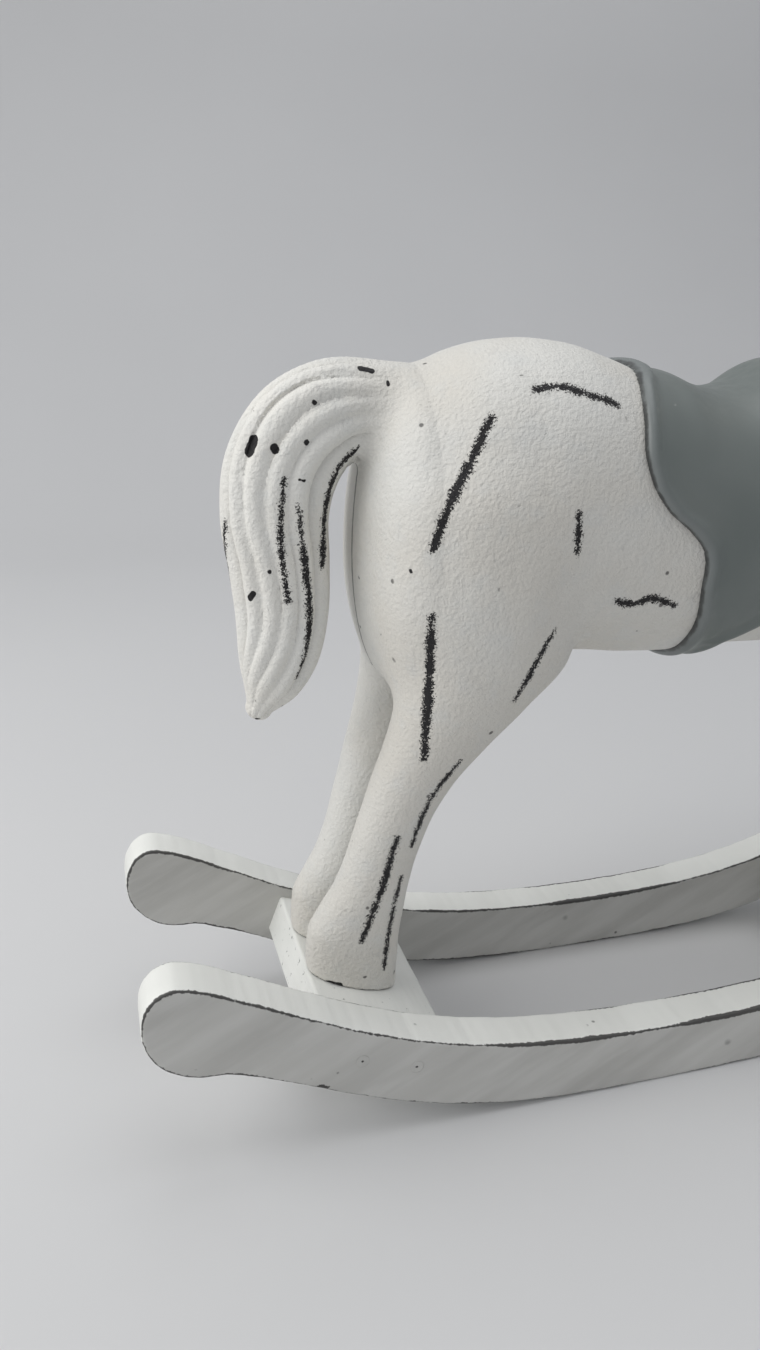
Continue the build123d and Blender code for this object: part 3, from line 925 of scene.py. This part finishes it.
def chalk(name, use_marks=True, use_seam=False, grain=0.80, painted_light_lift=1.0):
    """Chalky white paint over a cast surface, with sanded dark marks, painted shade in the tail's grooves and a
    painted-light lift of the tail's colour.
    """
    m, nt, b = material(name)
    t = NT(nt)
    p = t.pos()
    big = t.noise(p, 45, 3, 0.5)
    mid = t.noise(p, 230, 4, 0.6)
    fine = t.noise(p, 1500, 3, 0.6)
    def coat(k):
        up = [tuple(min(0.9, v * k) for v in c) for c in (WHITE, WARM, COOL)]
        c = t.mix(t.mapr(big, 0.35, 0.68), up[0], up[1])
        return t.mix(t.math("MULTIPLY", t.mapr(mid, 0.48, 0.72), 0.35), c, up[2])
    col = coat(1.0)
    # painted light: on the tail the colour becomes a brighter copy of the same paint, growing away from the dock
    # (attribute fade)
    if painted_light_lift != 1.0:
        col = t.mix(t.attr("fade"), col, coat(painted_light_lift))
    # painted shade: the tail's grooves between the locks are darkened by their depth
    groove_shade = t.mapr(t.attr("groove"), 0.25, 0.85, 0.0, 0.42)
    col = t.mix(groove_shade, col, (0.36, 0.35, 0.335))
    # dust and rubbed smudges
    sm_ = t.math("MULTIPLY", t.mapr(t.noise(p, 150, 4, 0.7), 0.60, 0.74), t.mapr(fine, 0.42, 0.60))
    col = t.mix(t.math("MULTIPLY", sm_, 0.38), col, (0.42, 0.41, 0.40))
    # sparse pin holes
    v = t.voronoi(p, 420)
    keep = t.mapr(t.noise(p, 330, 1, 0.5), 0.60, 0.66)
    pin = t.math("MULTIPLY", t.mapr(v, 0.10, 0.17, 1.0, 0.0), keep)
    dark = t.math("MULTIPLY", pin, 0.75)
    if use_marks:
        a = t.attr("mark")         # millimetres outside a stroke, negative within
        grit = t.noise(p, 3900, 2, 0.8)
        grit2 = t.noise(p, 900, 2, 0.6)
        e = t.math("ADD", a, t.math("MULTIPLY", t.math("SUBTRACT", grit, 0.5), 2.25))
        e = t.math("ADD", e, t.math("MULTIPLY", t.math("SUBTRACT", grit2, 0.5), 0.8))
        stroke = t.mapr(e, -0.02, 0.13, 1.0, 0.0)
        # hard-edged chips
        c = t.attr("chip")
        ce = t.math("ADD", c, t.math("MULTIPLY", t.math("SUBTRACT", grit2, 0.5), 0.5))
        chip = t.mapr(ce, -0.03, 0.05, 1.0, 0.0)
        so = t.math("ADD", t.attr("sole"), t.math("MULTIPLY", t.math("SUBTRACT", t.noise(p, 420, 3, 0.65), 0.5), 0.55))
        chip = t.math("MAXIMUM", chip, t.mapr(so, 0.03, 0.16, 0.92, 0.0))
        dark = t.math("MAXIMUM", dark, t.math("MAXIMUM", stroke, chip))
    if use_seam:
        # the casting's parting line shows as a thin dark crack here and there
        sm = t.attr("seam")
        cr = t.math("ADD", sm, t.math("MULTIPLY", t.math("SUBTRACT", t.noise(p, 500, 3, 0.65), 0.5), 0.42))
        dark = t.math("MAXIMUM", dark, t.mapr(cr, 0.16, 0.36, 0.62, 0.0))
    col = t.mix(dark, col, BLACK)
    t.link(col, b.inputs["Base Color"])
    r = t.mapr(mid, 0.3, 0.75, 0.52, 0.72)
    t.link(r, b.inputs["Roughness"])
    b.inputs["Specular IOR Level"].default_value = 0.35
    # orange peel, brush drag and the marks' own depth
    peel = t.noise(p, 1900, 2, 0.55)
    roll = t.noise(p, 760, 2, 0.5)
    drag = t.noise(t.pos((1, 1, 0.4)), 800, 2, 0.5)
    h = t.math("ADD", t.math("MULTIPLY", peel, 0.62), t.math("MULTIPLY", roll, 0.30))
    h = t.math("ADD", h, t.math("MULTIPLY", drag, 0.18))
    h = t.math("ADD", h, t.math("MULTIPLY", fine, 0.20))
    h = t.math("SUBTRACT", h, t.math("MULTIPLY", dark, 0.35))
    t.link(t.bump(h, grain, 0.00042), b.inputs["Normal"])
    return m


def saddle_mat():
    m, nt, b = material("saddle_satin")
    t = NT(nt)
    p = t.pos()
    big = t.noise(p, 60, 2, 0.5)
    mid = t.noise(p, 500, 3, 0.6)
    col = t.mix(t.mapr(big, 0.3, 0.7), (0.150, 0.172, 0.164), (0.180, 0.200, 0.191))
    # dust and pale specks
    sp = t.math("MULTIPLY", t.mapr(t.voronoi(p, 260), 0.05, 0.10, 1.0, 0.0), t.mapr(t.noise(p, 190, 1, 0.5), 0.63, 0.68))
    col = t.mix(t.math("MULTIPLY", sp, 0.5), col, (0.55, 0.56, 0.54))
    rim = t.attr("rim")
    col = t.mix(t.mapr(rim, 0.25, 1.5, 0.35, 0.0), col, (0.235, 0.245, 0.255))
    # painted shadow: a thin dark line along the cloth's outline where its raised edge meets the body
    edge_shadow = t.math("ADD", rim, t.math("MULTIPLY", t.math("SUBTRACT", t.noise(p, 500, 2, 0.6), 0.5), 0.35))
    col = t.mix(t.mapr(edge_shadow, -0.02, 0.16, 0.8, 0.0), col, (0.03, 0.03, 0.03))
    t.link(col, b.inputs["Base Color"])
    t.link(t.mapr(mid, 0.3, 0.7, 0.36, 0.48), b.inputs["Roughness"])
    b.inputs["Specular IOR Level"].default_value = 0.5
    h = t.math("ADD", t.math("MULTIPLY", mid, 0.25), t.math("MULTIPLY", big, 0.4))
    t.link(t.bump(h, 0.25, 0.0002), b.inputs["Normal"])
    return m


def rocker_mat():
    m, nt, b = material("rocker_paint")
    t = NT(nt)
    p = t.pos()
    a = t.attr("arris")
    # grey wash on the faces, in slanting brush strokes
    q = t.pos((1.0, 0.2, 1.0), (0, math.radians(28), 0))
    mp = t.new("ShaderNodeMapping")
    t.link(q, mp.inputs[0])
    mp.inputs["Scale"].default_value = (0.16, 1.0, 1.0)
    streak = t.noise(mp.outputs[0], 420, 4, 0.55)
    streak2 = t.noise(mp.outputs[0], 140, 3, 0.5)
    mid = t.noise(p, 260, 4, 0.6)
    grey = t.mix(t.mapr(streak2, 0.3, 0.7), (0.485, 0.480, 0.455), (0.575, 0.570, 0.542))
    grey = t.mix(t.math("MULTIPLY", t.mapr(streak, 0.35, 0.72), 0.5), grey, (0.66, 0.655, 0.63))
    spots = t.math("MULTIPLY", t.mapr(t.voronoi(p, 170), 0.06, 0.16, 1.0, 0.0), t.mapr(t.noise(p, 120, 1, 0.5), 0.60, 0.66))
    grey = t.mix(t.math("MULTIPLY", spots, 0.6), grey, (0.12, 0.12, 0.115))
    white = t.mix(t.mapr(t.noise(p, 60, 3, 0.5), 0.35, 0.7), (0.86, 0.865, 0.825), (0.80, 0.805, 0.765))
    edge_n = t.math("MULTIPLY", t.math("SUBTRACT", t.noise(p, 600, 3, 0.65), 0.5), 0.30)
    ae = t.math("ADD", a, edge_n)
    col = t.mix(t.mapr(ae, -0.06, 0.06), grey, white)
    # worn dark arris: thin everywhere, broad in places
    wide = t.mapr(t.noise(p, 55, 2, 0.5), 0.42, 0.66, 0.10, 0.34)
    wide = t.math("ADD", wide, t.math("MULTIPLY", t.attr("upper"), t.mapr(t.noise(p, 34, 2, 0.5), 0.40, 0.62, 0.01, 0.20)))
    gr = t.noise(p, 1900, 2, 0.7)
    dd = t.math("SUBTRACT", t.math("ABSOLUTE", t.math("ADD", a, 0.05)), wide)
    dd = t.math("ADD", dd, t.math("MULTIPLY", t.math("SUBTRACT", gr, 0.5), 0.55))
    worn = t.mapr(dd, -0.10, 0.04, 1.0, 0.0)
    pin = t.math("MULTIPLY", t.mapr(t.voronoi(p, 330), 0.07, 0.13, 1.0, 0.0), t.mapr(t.noise(p, 200, 1, 0.5), 0.64, 0.69))
    worn = t.math("MAXIMUM", worn, t.math("MULTIPLY", pin, 0.8))
    ch = t.attr("chip")
    che = t.math("ADD", ch, t.math("MULTIPLY", t.math("SUBTRACT", gr, 0.5), 0.7))
    worn = t.math("MAXIMUM", worn, t.mapr(che, -0.03, 0.05, 1.0, 0.0))
    col = t.mix(t.math("MULTIPLY", worn, 0.93), col, (0.035, 0.033, 0.032))
    t.link(col, b.inputs["Base Color"])
    t.link(t.mapr(mid, 0.3, 0.75, 0.45, 0.66), b.inputs["Roughness"])
    b.inputs["Specular IOR Level"].default_value = 0.4
    h = t.math("ADD", t.math("MULTIPLY", streak, 0.5), t.math("MULTIPLY", mid, 0.4))
    h = t.math("SUBTRACT", h, t.math("MULTIPLY", worn, 0.6))
    t.link(t.bump(h, 0.30, 0.00025), b.inputs["Normal"])
    return m


def slat_mat():
    m, nt, b = material("slat_paint")
    t = NT(nt)
    p = t.pos()
    mp = t.new("ShaderNodeMapping")
    t.link(p, mp.inputs[0])
    mp.inputs["Scale"].default_value = (1.0, 0.15, 1.0)
    streak = t.noise(mp.outputs[0], 520, 4, 0.6)
    col = t.mix(t.mapr(t.noise(p, 80, 3, 0.5), 0.35, 0.7), (0.82, 0.825, 0.79), (0.75, 0.76, 0.725))
    col = t.mix(t.math("MULTIPLY", t.mapr(streak, 0.4, 0.75), 0.4), col, (0.70, 0.71, 0.68))
    rim = t.attr("rim")
    e = t.math("ADD", rim, t.math("MULTIPLY", t.math("SUBTRACT", t.noise(p, 900, 3, 0.7), 0.5), 0.9))
    worn = t.mapr(e, -0.22, -0.12, 0.8, 0.0)
    pin = t.math("MULTIPLY", t.mapr(t.voronoi(p, 330), 0.07, 0.13, 1.0, 0.0), t.mapr(t.noise(p, 200, 1, 0.5), 0.62, 0.67))
    col = t.mix(t.math("MAXIMUM", worn, t.math("MULTIPLY", pin, 0.35)), col, (0.04, 0.038, 0.036))
    t.link(col, b.inputs["Base Color"])
    t.link(t.mapr(streak, 0.3, 0.7, 0.48, 0.66), b.inputs["Roughness"])
    t.link(t.bump(streak, 0.3, 0.0002), b.inputs["Normal"])
    return m


def steel_mat():
    m, nt, b = material("dull_steel")
    t = NT(nt)
    p = t.pos()
    n = t.noise(p, 900, 4, 0.65)
    col = t.mix(t.mapr(n, 0.35, 0.7), (0.20, 0.195, 0.19), (0.36, 0.35, 0.34))
    t.link(col, b.inputs["Base Color"])
    b.inputs["Metallic"].default_value = 0.9
    t.link(t.mapr(n, 0.3, 0.7, 0.32, 0.55), b.inputs["Roughness"])
    t.link(t.bump(n, 0.2, 0.0001), b.inputs["Normal"])
    return m


def brad_mat():
    """Nail heads painted over with the rocker's grey; a fleck of bare metal at the middle."""
    m, nt, b = material("painted_nail")
    t = NT(nt)
    p = t.pos()
    sep = t.new("ShaderNodeSeparateXYZ")
    t.link(p, sep.inputs[0])
    ax = t.math("ABSOLUTE", sep.outputs[0])
    best = None
    for cx, cz in ((0.0533, 0.0143), (0.0452, 0.0116)):
        dx = t.math("SUBTRACT", ax, cx)
        dz = t.math("SUBTRACT", sep.outputs[2], cz)
        r = t.math("SQRT", t.math("ADD", t.math("MULTIPLY", dx, dx), t.math("MULTIPLY", dz, dz)))
        best = r if best is None else t.math("MINIMUM", best, r)
    n = t.noise(p, 1500, 3, 0.6)
    r = t.math("ADD", t.math("MULTIPLY", best, 1000.0), t.math("MULTIPLY", t.math("SUBTRACT", n, 0.5), 0.35))
    grey = t.mix(t.mapr(t.noise(p, 260, 3, 0.5), 0.3, 0.7), (0.50, 0.496, 0.470), (0.57, 0.565, 0.538))
    dark = t.math("MAXIMUM", t.mapr(r, 0.16, 0.26, 1.0, 0.0), t.math("MULTIPLY", t.mapr(r, 0.90, 1.02), 0.18))
    t.link(t.mix(dark, grey, (0.05, 0.048, 0.046)), b.inputs["Base Color"])
    t.link(t.mapr(n, 0.3, 0.75, 0.45, 0.66), b.inputs["Roughness"])
    h = t.math("SUBTRACT", t.math("MULTIPLY", n, 0.5), t.math("MULTIPLY", dark, 0.8))
    t.link(t.bump(h, 0.3, 0.0002), b.inputs["Normal"])
    return m


def peg_mat():
    m, nt, b = material("beech_peg")
    t = NT(nt)
    p = t.pos((1, 0.1, 1))
    n = t.noise(p, 1400, 4, 0.6)
    col = t.mix(n, (0.50, 0.34, 0.19), (0.66, 0.48, 0.29))
    t.link(col, b.inputs["Base Color"])
    t.link(t.mapr(n, 0.3, 0.7, 0.5, 0.7), b.inputs["Roughness"])
    t.link(t.bump(n, 0.3, 0.0001), b.inputs["Normal"])
    return m


# ------------------------------------------------------------------ paint marks, kept as distances on the mesh
# polyline, width, strength; each is drawn onto the form before it is used
MARKS = [
    ([(-32.5, -13.1, 103.7), (-29.6, -13.1, 104.1), (-26.5, -13.6, 103.5), (-21.4, -14.0, 102.1)], 0.98),
    ([(-38.0, -13.9, 100.6), (-40.5, -15.0, 96.2), (-43.3, -15.9, 91.0), (-45.3, -15.8, 85.0)], 1.05),
    ([(-27.5, -18.3, 89.7), (-27.1, -18.5, 84.7)], 0.82),
    ([(-19.5, -16.8, 77.5), (-16.7, -16.5, 76.9), (-14.7, -16.6, 77.7), (-10.4, -16.1, 76.4)], 0.95),
    ([(-45.0, -15.9, 76.6), (-44.3, -14.4, 67.7), (-43.9, -13.2, 56.0)], 1.12),
    ([(-28.4, -17.8, 74.3), (-31.4, -17.1, 68.4), (-32.8, -16.2, 64.7)], 0.65),
    ([(-38.6, -14.2, 54.8), (-41.7, -12.8, 49.0), (-43.7, -11.0, 40.7)], 0.68),
    ([(-46.4, -10.9, 43.0), (-47.6, -10.1, 35.9), (-50.5, -9.5, 25.7)], 0.92),
    ([(-44.9, -10.2, 35.6), (-45.6, -9.9, 27.6), (-46.3, -9.5, 19.5)], 0.64),
    # left side
    ([(-34.0, 12.6, 103.6), (-30.0, 13.2, 104.0), (-24.5, 13.8, 102.8)], 0.95),
    ([(-37.0, 14.4, 99.5), (-40.0, 15.4, 94.0), (-43.0, 16.0, 86.5)], 1.05),
    ([(-26.0, 18.4, 88.0), (-24.5, 18.4, 83.5)], 0.85),
    ([(-19.0, 16.8, 78.5), (-15.5, 16.6, 77.2), (-11.0, 16.2, 77.9)], 0.95),
    ([(-44.6, 15.9, 73.0), (-44.2, 14.4, 65.0), (-43.4, 13.2, 57.0)], 1.05),
    ([(-29.5, 17.6, 72.6), (-32.6, 16.4, 65.8)], 0.62),
    ([(-46.8, 10.9, 41.5), (-48.2, 10.1, 34.0), (-50.2, 9.5, 27.0)], 0.9),
    ([(-43.2, 8.6, 37.0), (-44.2, 8.3, 29.0)], 0.55),
    # shoulders, breast and forelegs
    ([(27.5, -17.0, 97.0), (31.0, -16.4, 91.0), (33.0, -16.6, 85.0)], 1.05),
    ([(25.0, -17.4, 76.0), (27.5, -17.0, 72.0)], 0.75),
    ([(37.5, -14.6, 71.0), (40.0, -13.2, 63.5), (41.5, -12.2, 57.5)], 0.95),
    ([(41.0, -10.9, 50.0), (44.2, -10.4, 43.0), (46.3, -9.6, 36.0)], 0.85),
    ([(50.4, -9.6, 29.5), (52.6, -9.3, 22.5)], 0.7),
    ([(28.5, 16.9, 96.0), (31.5, 16.4, 89.5)], 1.05),
    ([(24.0, 17.4, 80.0), (28.0, 17.0, 78.6)], 0.9),
    ([(38.2, 14.6, 69.0), (40.6, 13.0, 61.0)], 0.95),
    ([(42.0, 10.9, 48.0), (45.4, 10.2, 39.0)], 0.8),
    ([(50.0, 9.6, 30.0), (52.2, 9.3, 21.5)], 0.65),
    ([(46.5, -4.0, 88.0), (47.5, -4.2, 80.0)], 0.8),
    # neck and head
    ([(38.5, -8.6, 112.0), (41.8, -7.6, 120.0)], 0.9),
    ([(30.5, -11.6, 106.0), (31.8, -10.8, 111.0)], 0.7),
    ([(39.5, 8.4, 110.0), (42.5, 7.4, 118.0)], 0.9),
    ([(52.5, -6.8, 124.8), (56.5, -6.4, 122.6)], 0.7),
    ([(63.5, -4.0, 126.0), (68.0, -3.6, 123.0)], 0.5),
    ([(53.5, 6.8, 125.2), (57.0, 6.4, 122.8)], 0.7),
]
TAIL_MARKS = [
    ([(-51.4, -3.2, 96.0), (-53.8, -3.7, 93.8), (-55.2, -3.7, 91.2), (-55.9, -3.4, 86.4), (-56.0, -3.7, 80.5)], 0.80),
    ([(-61.7, -5.4, 92.0), (-62.0, -5.3, 85.7), (-61.0, -5.5, 76.4)], 0.58),
    ([(-59.7, -5.4, 88.8), (-59.1, -5.5, 83.8)], 0.30),
    ([(-59.1, -5.5, 83.8), (-58.2, -4.7, 76.3), (-58.3, -4.4, 70.5), (-59.2, -4.0, 65.2)], 0.82),
    ([(-55.5, 3.0, 88.0), (-55.8, 3.2, 80.0)], 0.7),
    ([(-61.2, 5.4, 90.0), (-61.4, 5.4, 78.0)], 0.6),
    ([(-58.6, 4.8, 82.0), (-58.9, 4.2, 68.0)], 0.8),
    ([(-67.0, -0.6, 86.0), (-66.6, 0.4, 77.0)], 0.5),
]
# hard-edged chips: a short line each, and its width
CHIPS = [
    ([(-65.2, -3.7, 96.6), (-65.4, -3.7, 95.2)], 1.5),
    ([(-62.6, -5.1, 95.8), (-62.5, -5.1, 95.6)], 1.1),
    ([(-51.5, -3.4, 105.4), (-50.2, -3.4, 104.9)], 0.85),
    ([(-57.7, -4.6, 101.3), (-57.6, -4.6, 101.2)], 0.6),
    ([(-58.7, -5.8, 96.5), (-58.6, -5.8, 96.4)], 0.6),
    ([(-63.3, -5.5, 80.4), (-63.3, -5.5, 80.3)], 0.5),
    ([(-65.8, -4.4, 76.6), (-65.3, -4.4, 77.2)], 0.85),
    ([(-48.3, -4.5, 103.9), (-48.3, -4.5, 103.3)], 0.32),
    ([(-59.6, -5.2, 92.0), (-59.1, -5.2, 91.9)], 0.4),
    ([(-64.2, -1.0, 58.0), (-64.0, -1.4, 57.9)], 0.7),
    ([(-54.9, -8.2, 18.6), (-53.5, -8.7, 18.1)], 1.20),
    ([(-49.5, -16.0, 82.2), (-49.3, -16.0, 82.0)], 0.35),
    ([(-62.0, 5.0, 97.0), (-62.0, 5.0, 96.2)], 1.0),
    ([(53.6, 7.0, 24.0), (53.4, 7.2, 23.4)], 0.6),
    ([(30.0, -15.5, 68.0), (30.3, -15.5, 67.6)], 0.5),
]
# chips on the rockers: place, width
ROCKER_CHIPS = [
    ([(-57.3, -20.9, 16.2), (-56.7, -20.6, 15.9)], 0.9),
    ([(-59.3, -20.9, 11.3), (-58.3, -20.9, 10.9)], 0.8),
    ([(-45.8, -20.9, 5.45), (-45.1, -20.9, 5.2)], 0.55),
    ([(-74.0, -17.2, 30.2), (-71.0, -16.6, 28.8)], 0.5),
    ([(70.0, 20.9, 22.0), (69.0, 20.9, 21.8)], 0.9),
    ([(58.0, -20.9, 16.9), (56.0, -20.9, 16.2)], 0.9),
]


def seg_dist(P, line):
    """Distance from points to a polyline, and where along it (0 to 1) the nearest point is."""
    L = np.array(line, float)
    seg = np.linalg.norm(np.diff(L, axis=0), axis=1)
    cum = np.r_[0, np.cumsum(seg)]
    best = np.full(len(P), 1e9)
    at = np.zeros(len(P))
    for i in range(len(seg)):
        d = L[i + 1] - L[i]
        t = np.clip((P - L[i]) @ d / max(seg[i] ** 2, 1e-9), 0, 1)
        q = np.linalg.norm(P - L[i] - t[:, None] * d, axis=1)
        m = q < best
        best = np.where(m, q, best)
        at = np.where(m, (cum[i] + t * seg[i]) / cum[-1], at)
    return best, at


def onto(f, line, step=0.6):
    """A polyline made dense and smooth, then drawn onto the form."""
    L = np.array(line, float)
    if len(L) > 2:
        t = np.r_[0, np.cumsum(np.linalg.norm(np.diff(L, axis=0), axis=1))]
        n = max(3, int(t[-1] / step))
        u = np.linspace(0, t[-1], n)
        L = np.stack([Path._smooth(t, L[:, i], u) for i in range(3)], 1)
    else:
        n = max(2, int(np.linalg.norm(L[1] - L[0]) / step))
        L = L[0] + np.linspace(0, 1, n)[:, None] * (L[1] - L[0])
    for _ in range(4):
        fv, g = value_grad(f, L)
        L = L - np.clip(fv / np.maximum((g ** 2).sum(1), 0.05), -1.5, 1.5)[:, None] * g
    return L


def near_lines(lines, reach):
    pts = np.concatenate([L for L, _ in lines])
    lo, hi = pts.min(0) - reach, pts.max(0) + reach

    def want(P):
        out = np.zeros(len(P), bool)
        box = ((P > lo) & (P < hi)).all(1)
        ids = np.where(box)[0]
        for L, w in lines:
            a, b = L.min(0) - reach - w, L.max(0) + reach + w
            m = ids[((P[ids] > a) & (P[ids] < b)).all(1)]
            if len(m):
                d, _ = seg_dist(P[m], L)
                out[m[d < w / 2 + reach]] = True
        return out
    return want


def paint(ob, marks, chips):
    P = coords(ob)
    out = np.full(len(P), 5.0)
    for k, (line, width) in enumerate(marks):
        box = ((P > line.min(0) - 3) & (P < line.max(0) + 3)).all(1)
        if not box.any():
            continue
        d, at = seg_dist(P[box], line)
        taper = 0.50 + 0.50 * np.clip(np.sin(np.clip(at * 0.94 + 0.03, 0, 1) * math.pi), 0, 1) ** 0.5
        taper = taper * (1 + 0.22 * np.sin(at * 9 + k * 1.7) * np.sin(at * 23 + k))
        cur = np.full(len(P), 5.0)
        cur[box] = d - width / 2 * taper
        out = np.minimum(out, cur)
    attribute(ob, "mark", out)
    out = np.full(len(P), 5.0)
    for line, width in chips:
        d, at = seg_dist(P, line)
        out = np.minimum(out, d - width / 2)
    attribute(ob, "chip", out)


def sole(ob):
    P = coords(ob)
    h = np.where(P[:, 0] < 0, slat_side(P[:, 0], P[:, 2], -1), slat_side(P[:, 0], P[:, 2], 1))
    attribute(ob, "sole", np.where(P[:, 2] < 30, np.clip(h, 0, 5), 5.0))


marks_body = [(onto(whole, L), w) for L, w in MARKS]
marks_tail = [(onto(whole, L), w) for L, w in TAIL_MARKS]
chips_all = [(onto(whole, L, 0.3), w) for L, w in CHIPS]
lines_right = [(L, w) for L, w in marks_body + chips_all if L[:, 1].mean() < 1 and L[:, 0].mean() > -54]
lines_left = [(L * [1, -1, 1], w) for L, w in marks_body + chips_all if L[:, 1].mean() > -1 and L[:, 0].mean() > -54]
lines_tail = marks_tail + [(L, w) for L, w in chips_all if L[:, 0].mean() < -46]
left = bpy.data.objects.new("body_left_half", right.data.copy())
bpy.context.scene.collection.objects.link(left)
refine(right, whole, near_lines(lines_right, 0.75))
refine(left, whole, near_lines(lines_left, 0.75))
refine(tail, whole, near_lines(lines_tail, 0.5))
FACE = lambda P: (P[:, 0] > 51) & (P[:, 0] < 79) & (P[:, 2] > 111.0) & (P[:, 2] < 136) & (P[:, 1] < -0.6)
for ob in (right, left):
    refine(ob, whole, FACE)
form_normals(right, whole)
form_normals(left, whole)
form_normals(tail, whole)
paint(right, marks_body, chips_all)
paint(tail, marks_tail, chips_all)
mirrored = lambda lines: [(L * [1, -1, 1], w) for L, w in lines]
paint(left, mirrored(marks_body), mirrored(chips_all))


def mirror(ob):
    """Reflects in the centre plane, with its shading normals."""
    me = ob.data
    nl = len(me.loops)
    N = np.zeros(nl * 3)
    me.corner_normals.foreach_get("vector", N)
    N = N.reshape(-1, 3) * [1, -1, 1]
    start = np.zeros(len(me.polygons), np.int64)
    me.polygons.foreach_get("loop_start", start)
    tot = np.zeros(len(me.polygons), np.int64)
    me.polygons.foreach_get("loop_total", tot)
    co = coords(ob) * [1, -1, 1]
    me.vertices.foreach_set("co", (co * MM).ravel())
    me.flip_normals()
    # flipping keeps each face's first corner and reverses the others
    idx = np.arange(nl) - np.repeat(start, tot)
    n = np.repeat(tot, tot)
    src = np.repeat(start, tot) + np.where(idx == 0, 0, n - idx)
    me.normals_split_custom_set(N[src].tolist())
    me.update()


mirror(left)
paint(mane, [], [])
for ob in (right, left, tail, mane):
    sole(ob)
P = coords(tail)
# painted light: how far the tail's colour is lifted, 0 at the dock rising towards the tip
attribute(tail, "fade", np.clip((-coords(tail)[:, 0] - 51.0) / 13.0, 0, 1))
# groove depth on the tail, used for the painted shade in the grooves
attribute(tail, "groove", tail_f(P[:, 0], P[:, 1], P[:, 2], True) / 1.3)
for ob in (rocker_r, rocker_l):
    P = coords(ob)
    out = np.full(len(P), 5.0)
    for line, width in ROCKER_CHIPS:
        d, _ = seg_dist(P, line)
        out = np.minimum(out, d - width / 2)
    attribute(ob, "chip", out)
for ob in (right, left):
    P = coords(ob)
    attribute(ob, "seam", np.where((P[:, 0] < -43) & (P[:, 2] < 97), np.abs(P[:, 1]), 5.0))
P = coords(cloth)
attribute(cloth, "rim", cloth_edge(P[:, 0], P[:, 2]))

chalk_body = chalk("chalk_body", True, True)
# the 1.13 is painted light, brightening the tail's chalk towards its tip
chalk_hair_painted_light = chalk("chalk_hair_painted_light", True, False, 0.92, 1.13)
sat = saddle_mat()
rock = rocker_mat()
sl = slat_mat()
steel = steel_mat()
peg = peg_mat()
for ob, m in ((right, chalk_body), (left, chalk_body), (tail, chalk_hair_painted_light), (mane, chalk_hair_painted_light), (cloth, sat),
              (rocker_r, rock), (rocker_l, rock), (slat_r, sl), (slat_f, sl)):
    ob.data.materials.clear()
    ob.data.materials.append(m)
for node, m in (("slat_brads", brad_mat()), ("hoof_screws", steel), ("body_pegs", peg)):
    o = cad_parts[node]
    o.data.materials.clear()
    o.data.materials.append(m)

for ob, node, slot_name in (
        (right, "body_right_half", "chalk_white"), (left, "body_left_half", "chalk_white"),
        (tail, "tail", "chalk_white"), (mane, "mane", "chalk_white"), (cloth, "saddle_cloth", "saddle_grey"),
        (rocker_r, "rocker_right", "rocker_wood"), (rocker_l, "rocker_left", "rocker_wood"),
        (slat_r, "rear_slat", "slat_wood"), (slat_f, "front_slat", "slat_wood")):
    ob.name = "look_" + node
    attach(ob, "root")
    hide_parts(node)

# ------------------------------------------------------------------ stage, light and camera
def sweep():
    pts = [(-0.7, 0.0)]
    R = 0.30
    y0 = 0.35
    pts.append((y0, 0.0))
    for i in range(1, 13):
        a = i / 12 * math.pi / 2
        pts.append((y0 + R * math.sin(a), R * (1 - math.cos(a))))
    pts.append((y0 + R, 1.6))
    V = [(x, y, z) for y, z in pts for x in (-1.6, 1.8)]
    F = [(2 * i, 2 * i + 1, 2 * i + 3, 2 * i + 2) for i in range(len(pts) - 1)]
    me = bpy.data.meshes.new("floor")
    me.from_pydata(V, [], F)
    for p in me.polygons:
        p.use_smooth = True
    ob = bpy.data.objects.new("floor", me)
    bpy.context.scene.collection.objects.link(ob)
    m, nt, b = material("pale_floor")
    t = NT(nt)
    n = t.noise(t.pos(), 6, 2, 0.5)
    t.link(t.mix(n, (0.63, 0.63, 0.632), (0.67, 0.67, 0.672)), b.inputs["Base Color"])
    b.inputs["Roughness"].default_value = 0.9
    ob.data.materials.append(m)


sweep()
world = bpy.data.worlds.new("soft")
bpy.context.scene.world = world
world.use_nodes = True
world.node_tree.nodes["Background"].inputs[0].default_value = (0.86, 0.88, 0.92, 1)
world.node_tree.nodes["Background"].inputs[1].default_value = 0.47


def area(name, loc, target, size, energy, color):
    L = bpy.data.lights.new(name, "AREA")
    L.shape = "DISK"
    L.size = size
    L.energy = energy
    L.color = color
    o = bpy.data.objects.new(name, L)
    bpy.context.scene.collection.objects.link(o)
    o.location = loc
    o.rotation_euler = (Vector(target) - Vector(loc)).to_track_quat("-Z", "Y").to_euler()
    return o


area("key", (-0.44, -0.03, 0.34), (-0.02, 0, 0.06), 0.42, 1.35, (1.0, 0.99, 0.97))
area("top", (0.10, 0.05, 0.95), (0, 0, 0.06), 0.9, 2.7, (0.98, 0.99, 1.0))

cam_data = bpy.data.cameras.new("camera")
cam_data.sensor_width = 36
cam_data.lens = 25.6
cam_data.clip_start = 0.01
cam = bpy.data.objects.new("camera", cam_data)
bpy.context.scene.collection.objects.link(cam)
right_v = Vector((0.9567036, -0.2886244, 0.0376051))
up_v = Vector((0.0631534, 0.3319613, 0.9411766))
back_v = Vector((-0.2841300, -0.8980522, 0.3358162))
mw = Matrix((
    (right_v.x, up_v.x, back_v.x, -0.0854441),
    (right_v.y, up_v.y, back_v.y, -0.1234569),
    (right_v.z, up_v.z, back_v.z, 0.1095740),
    (0, 0, 0, 1)))
cam.matrix_world = mw
bpy.context.scene.camera = cam
bpy.context.scene.view_settings.view_transform = "Standard"
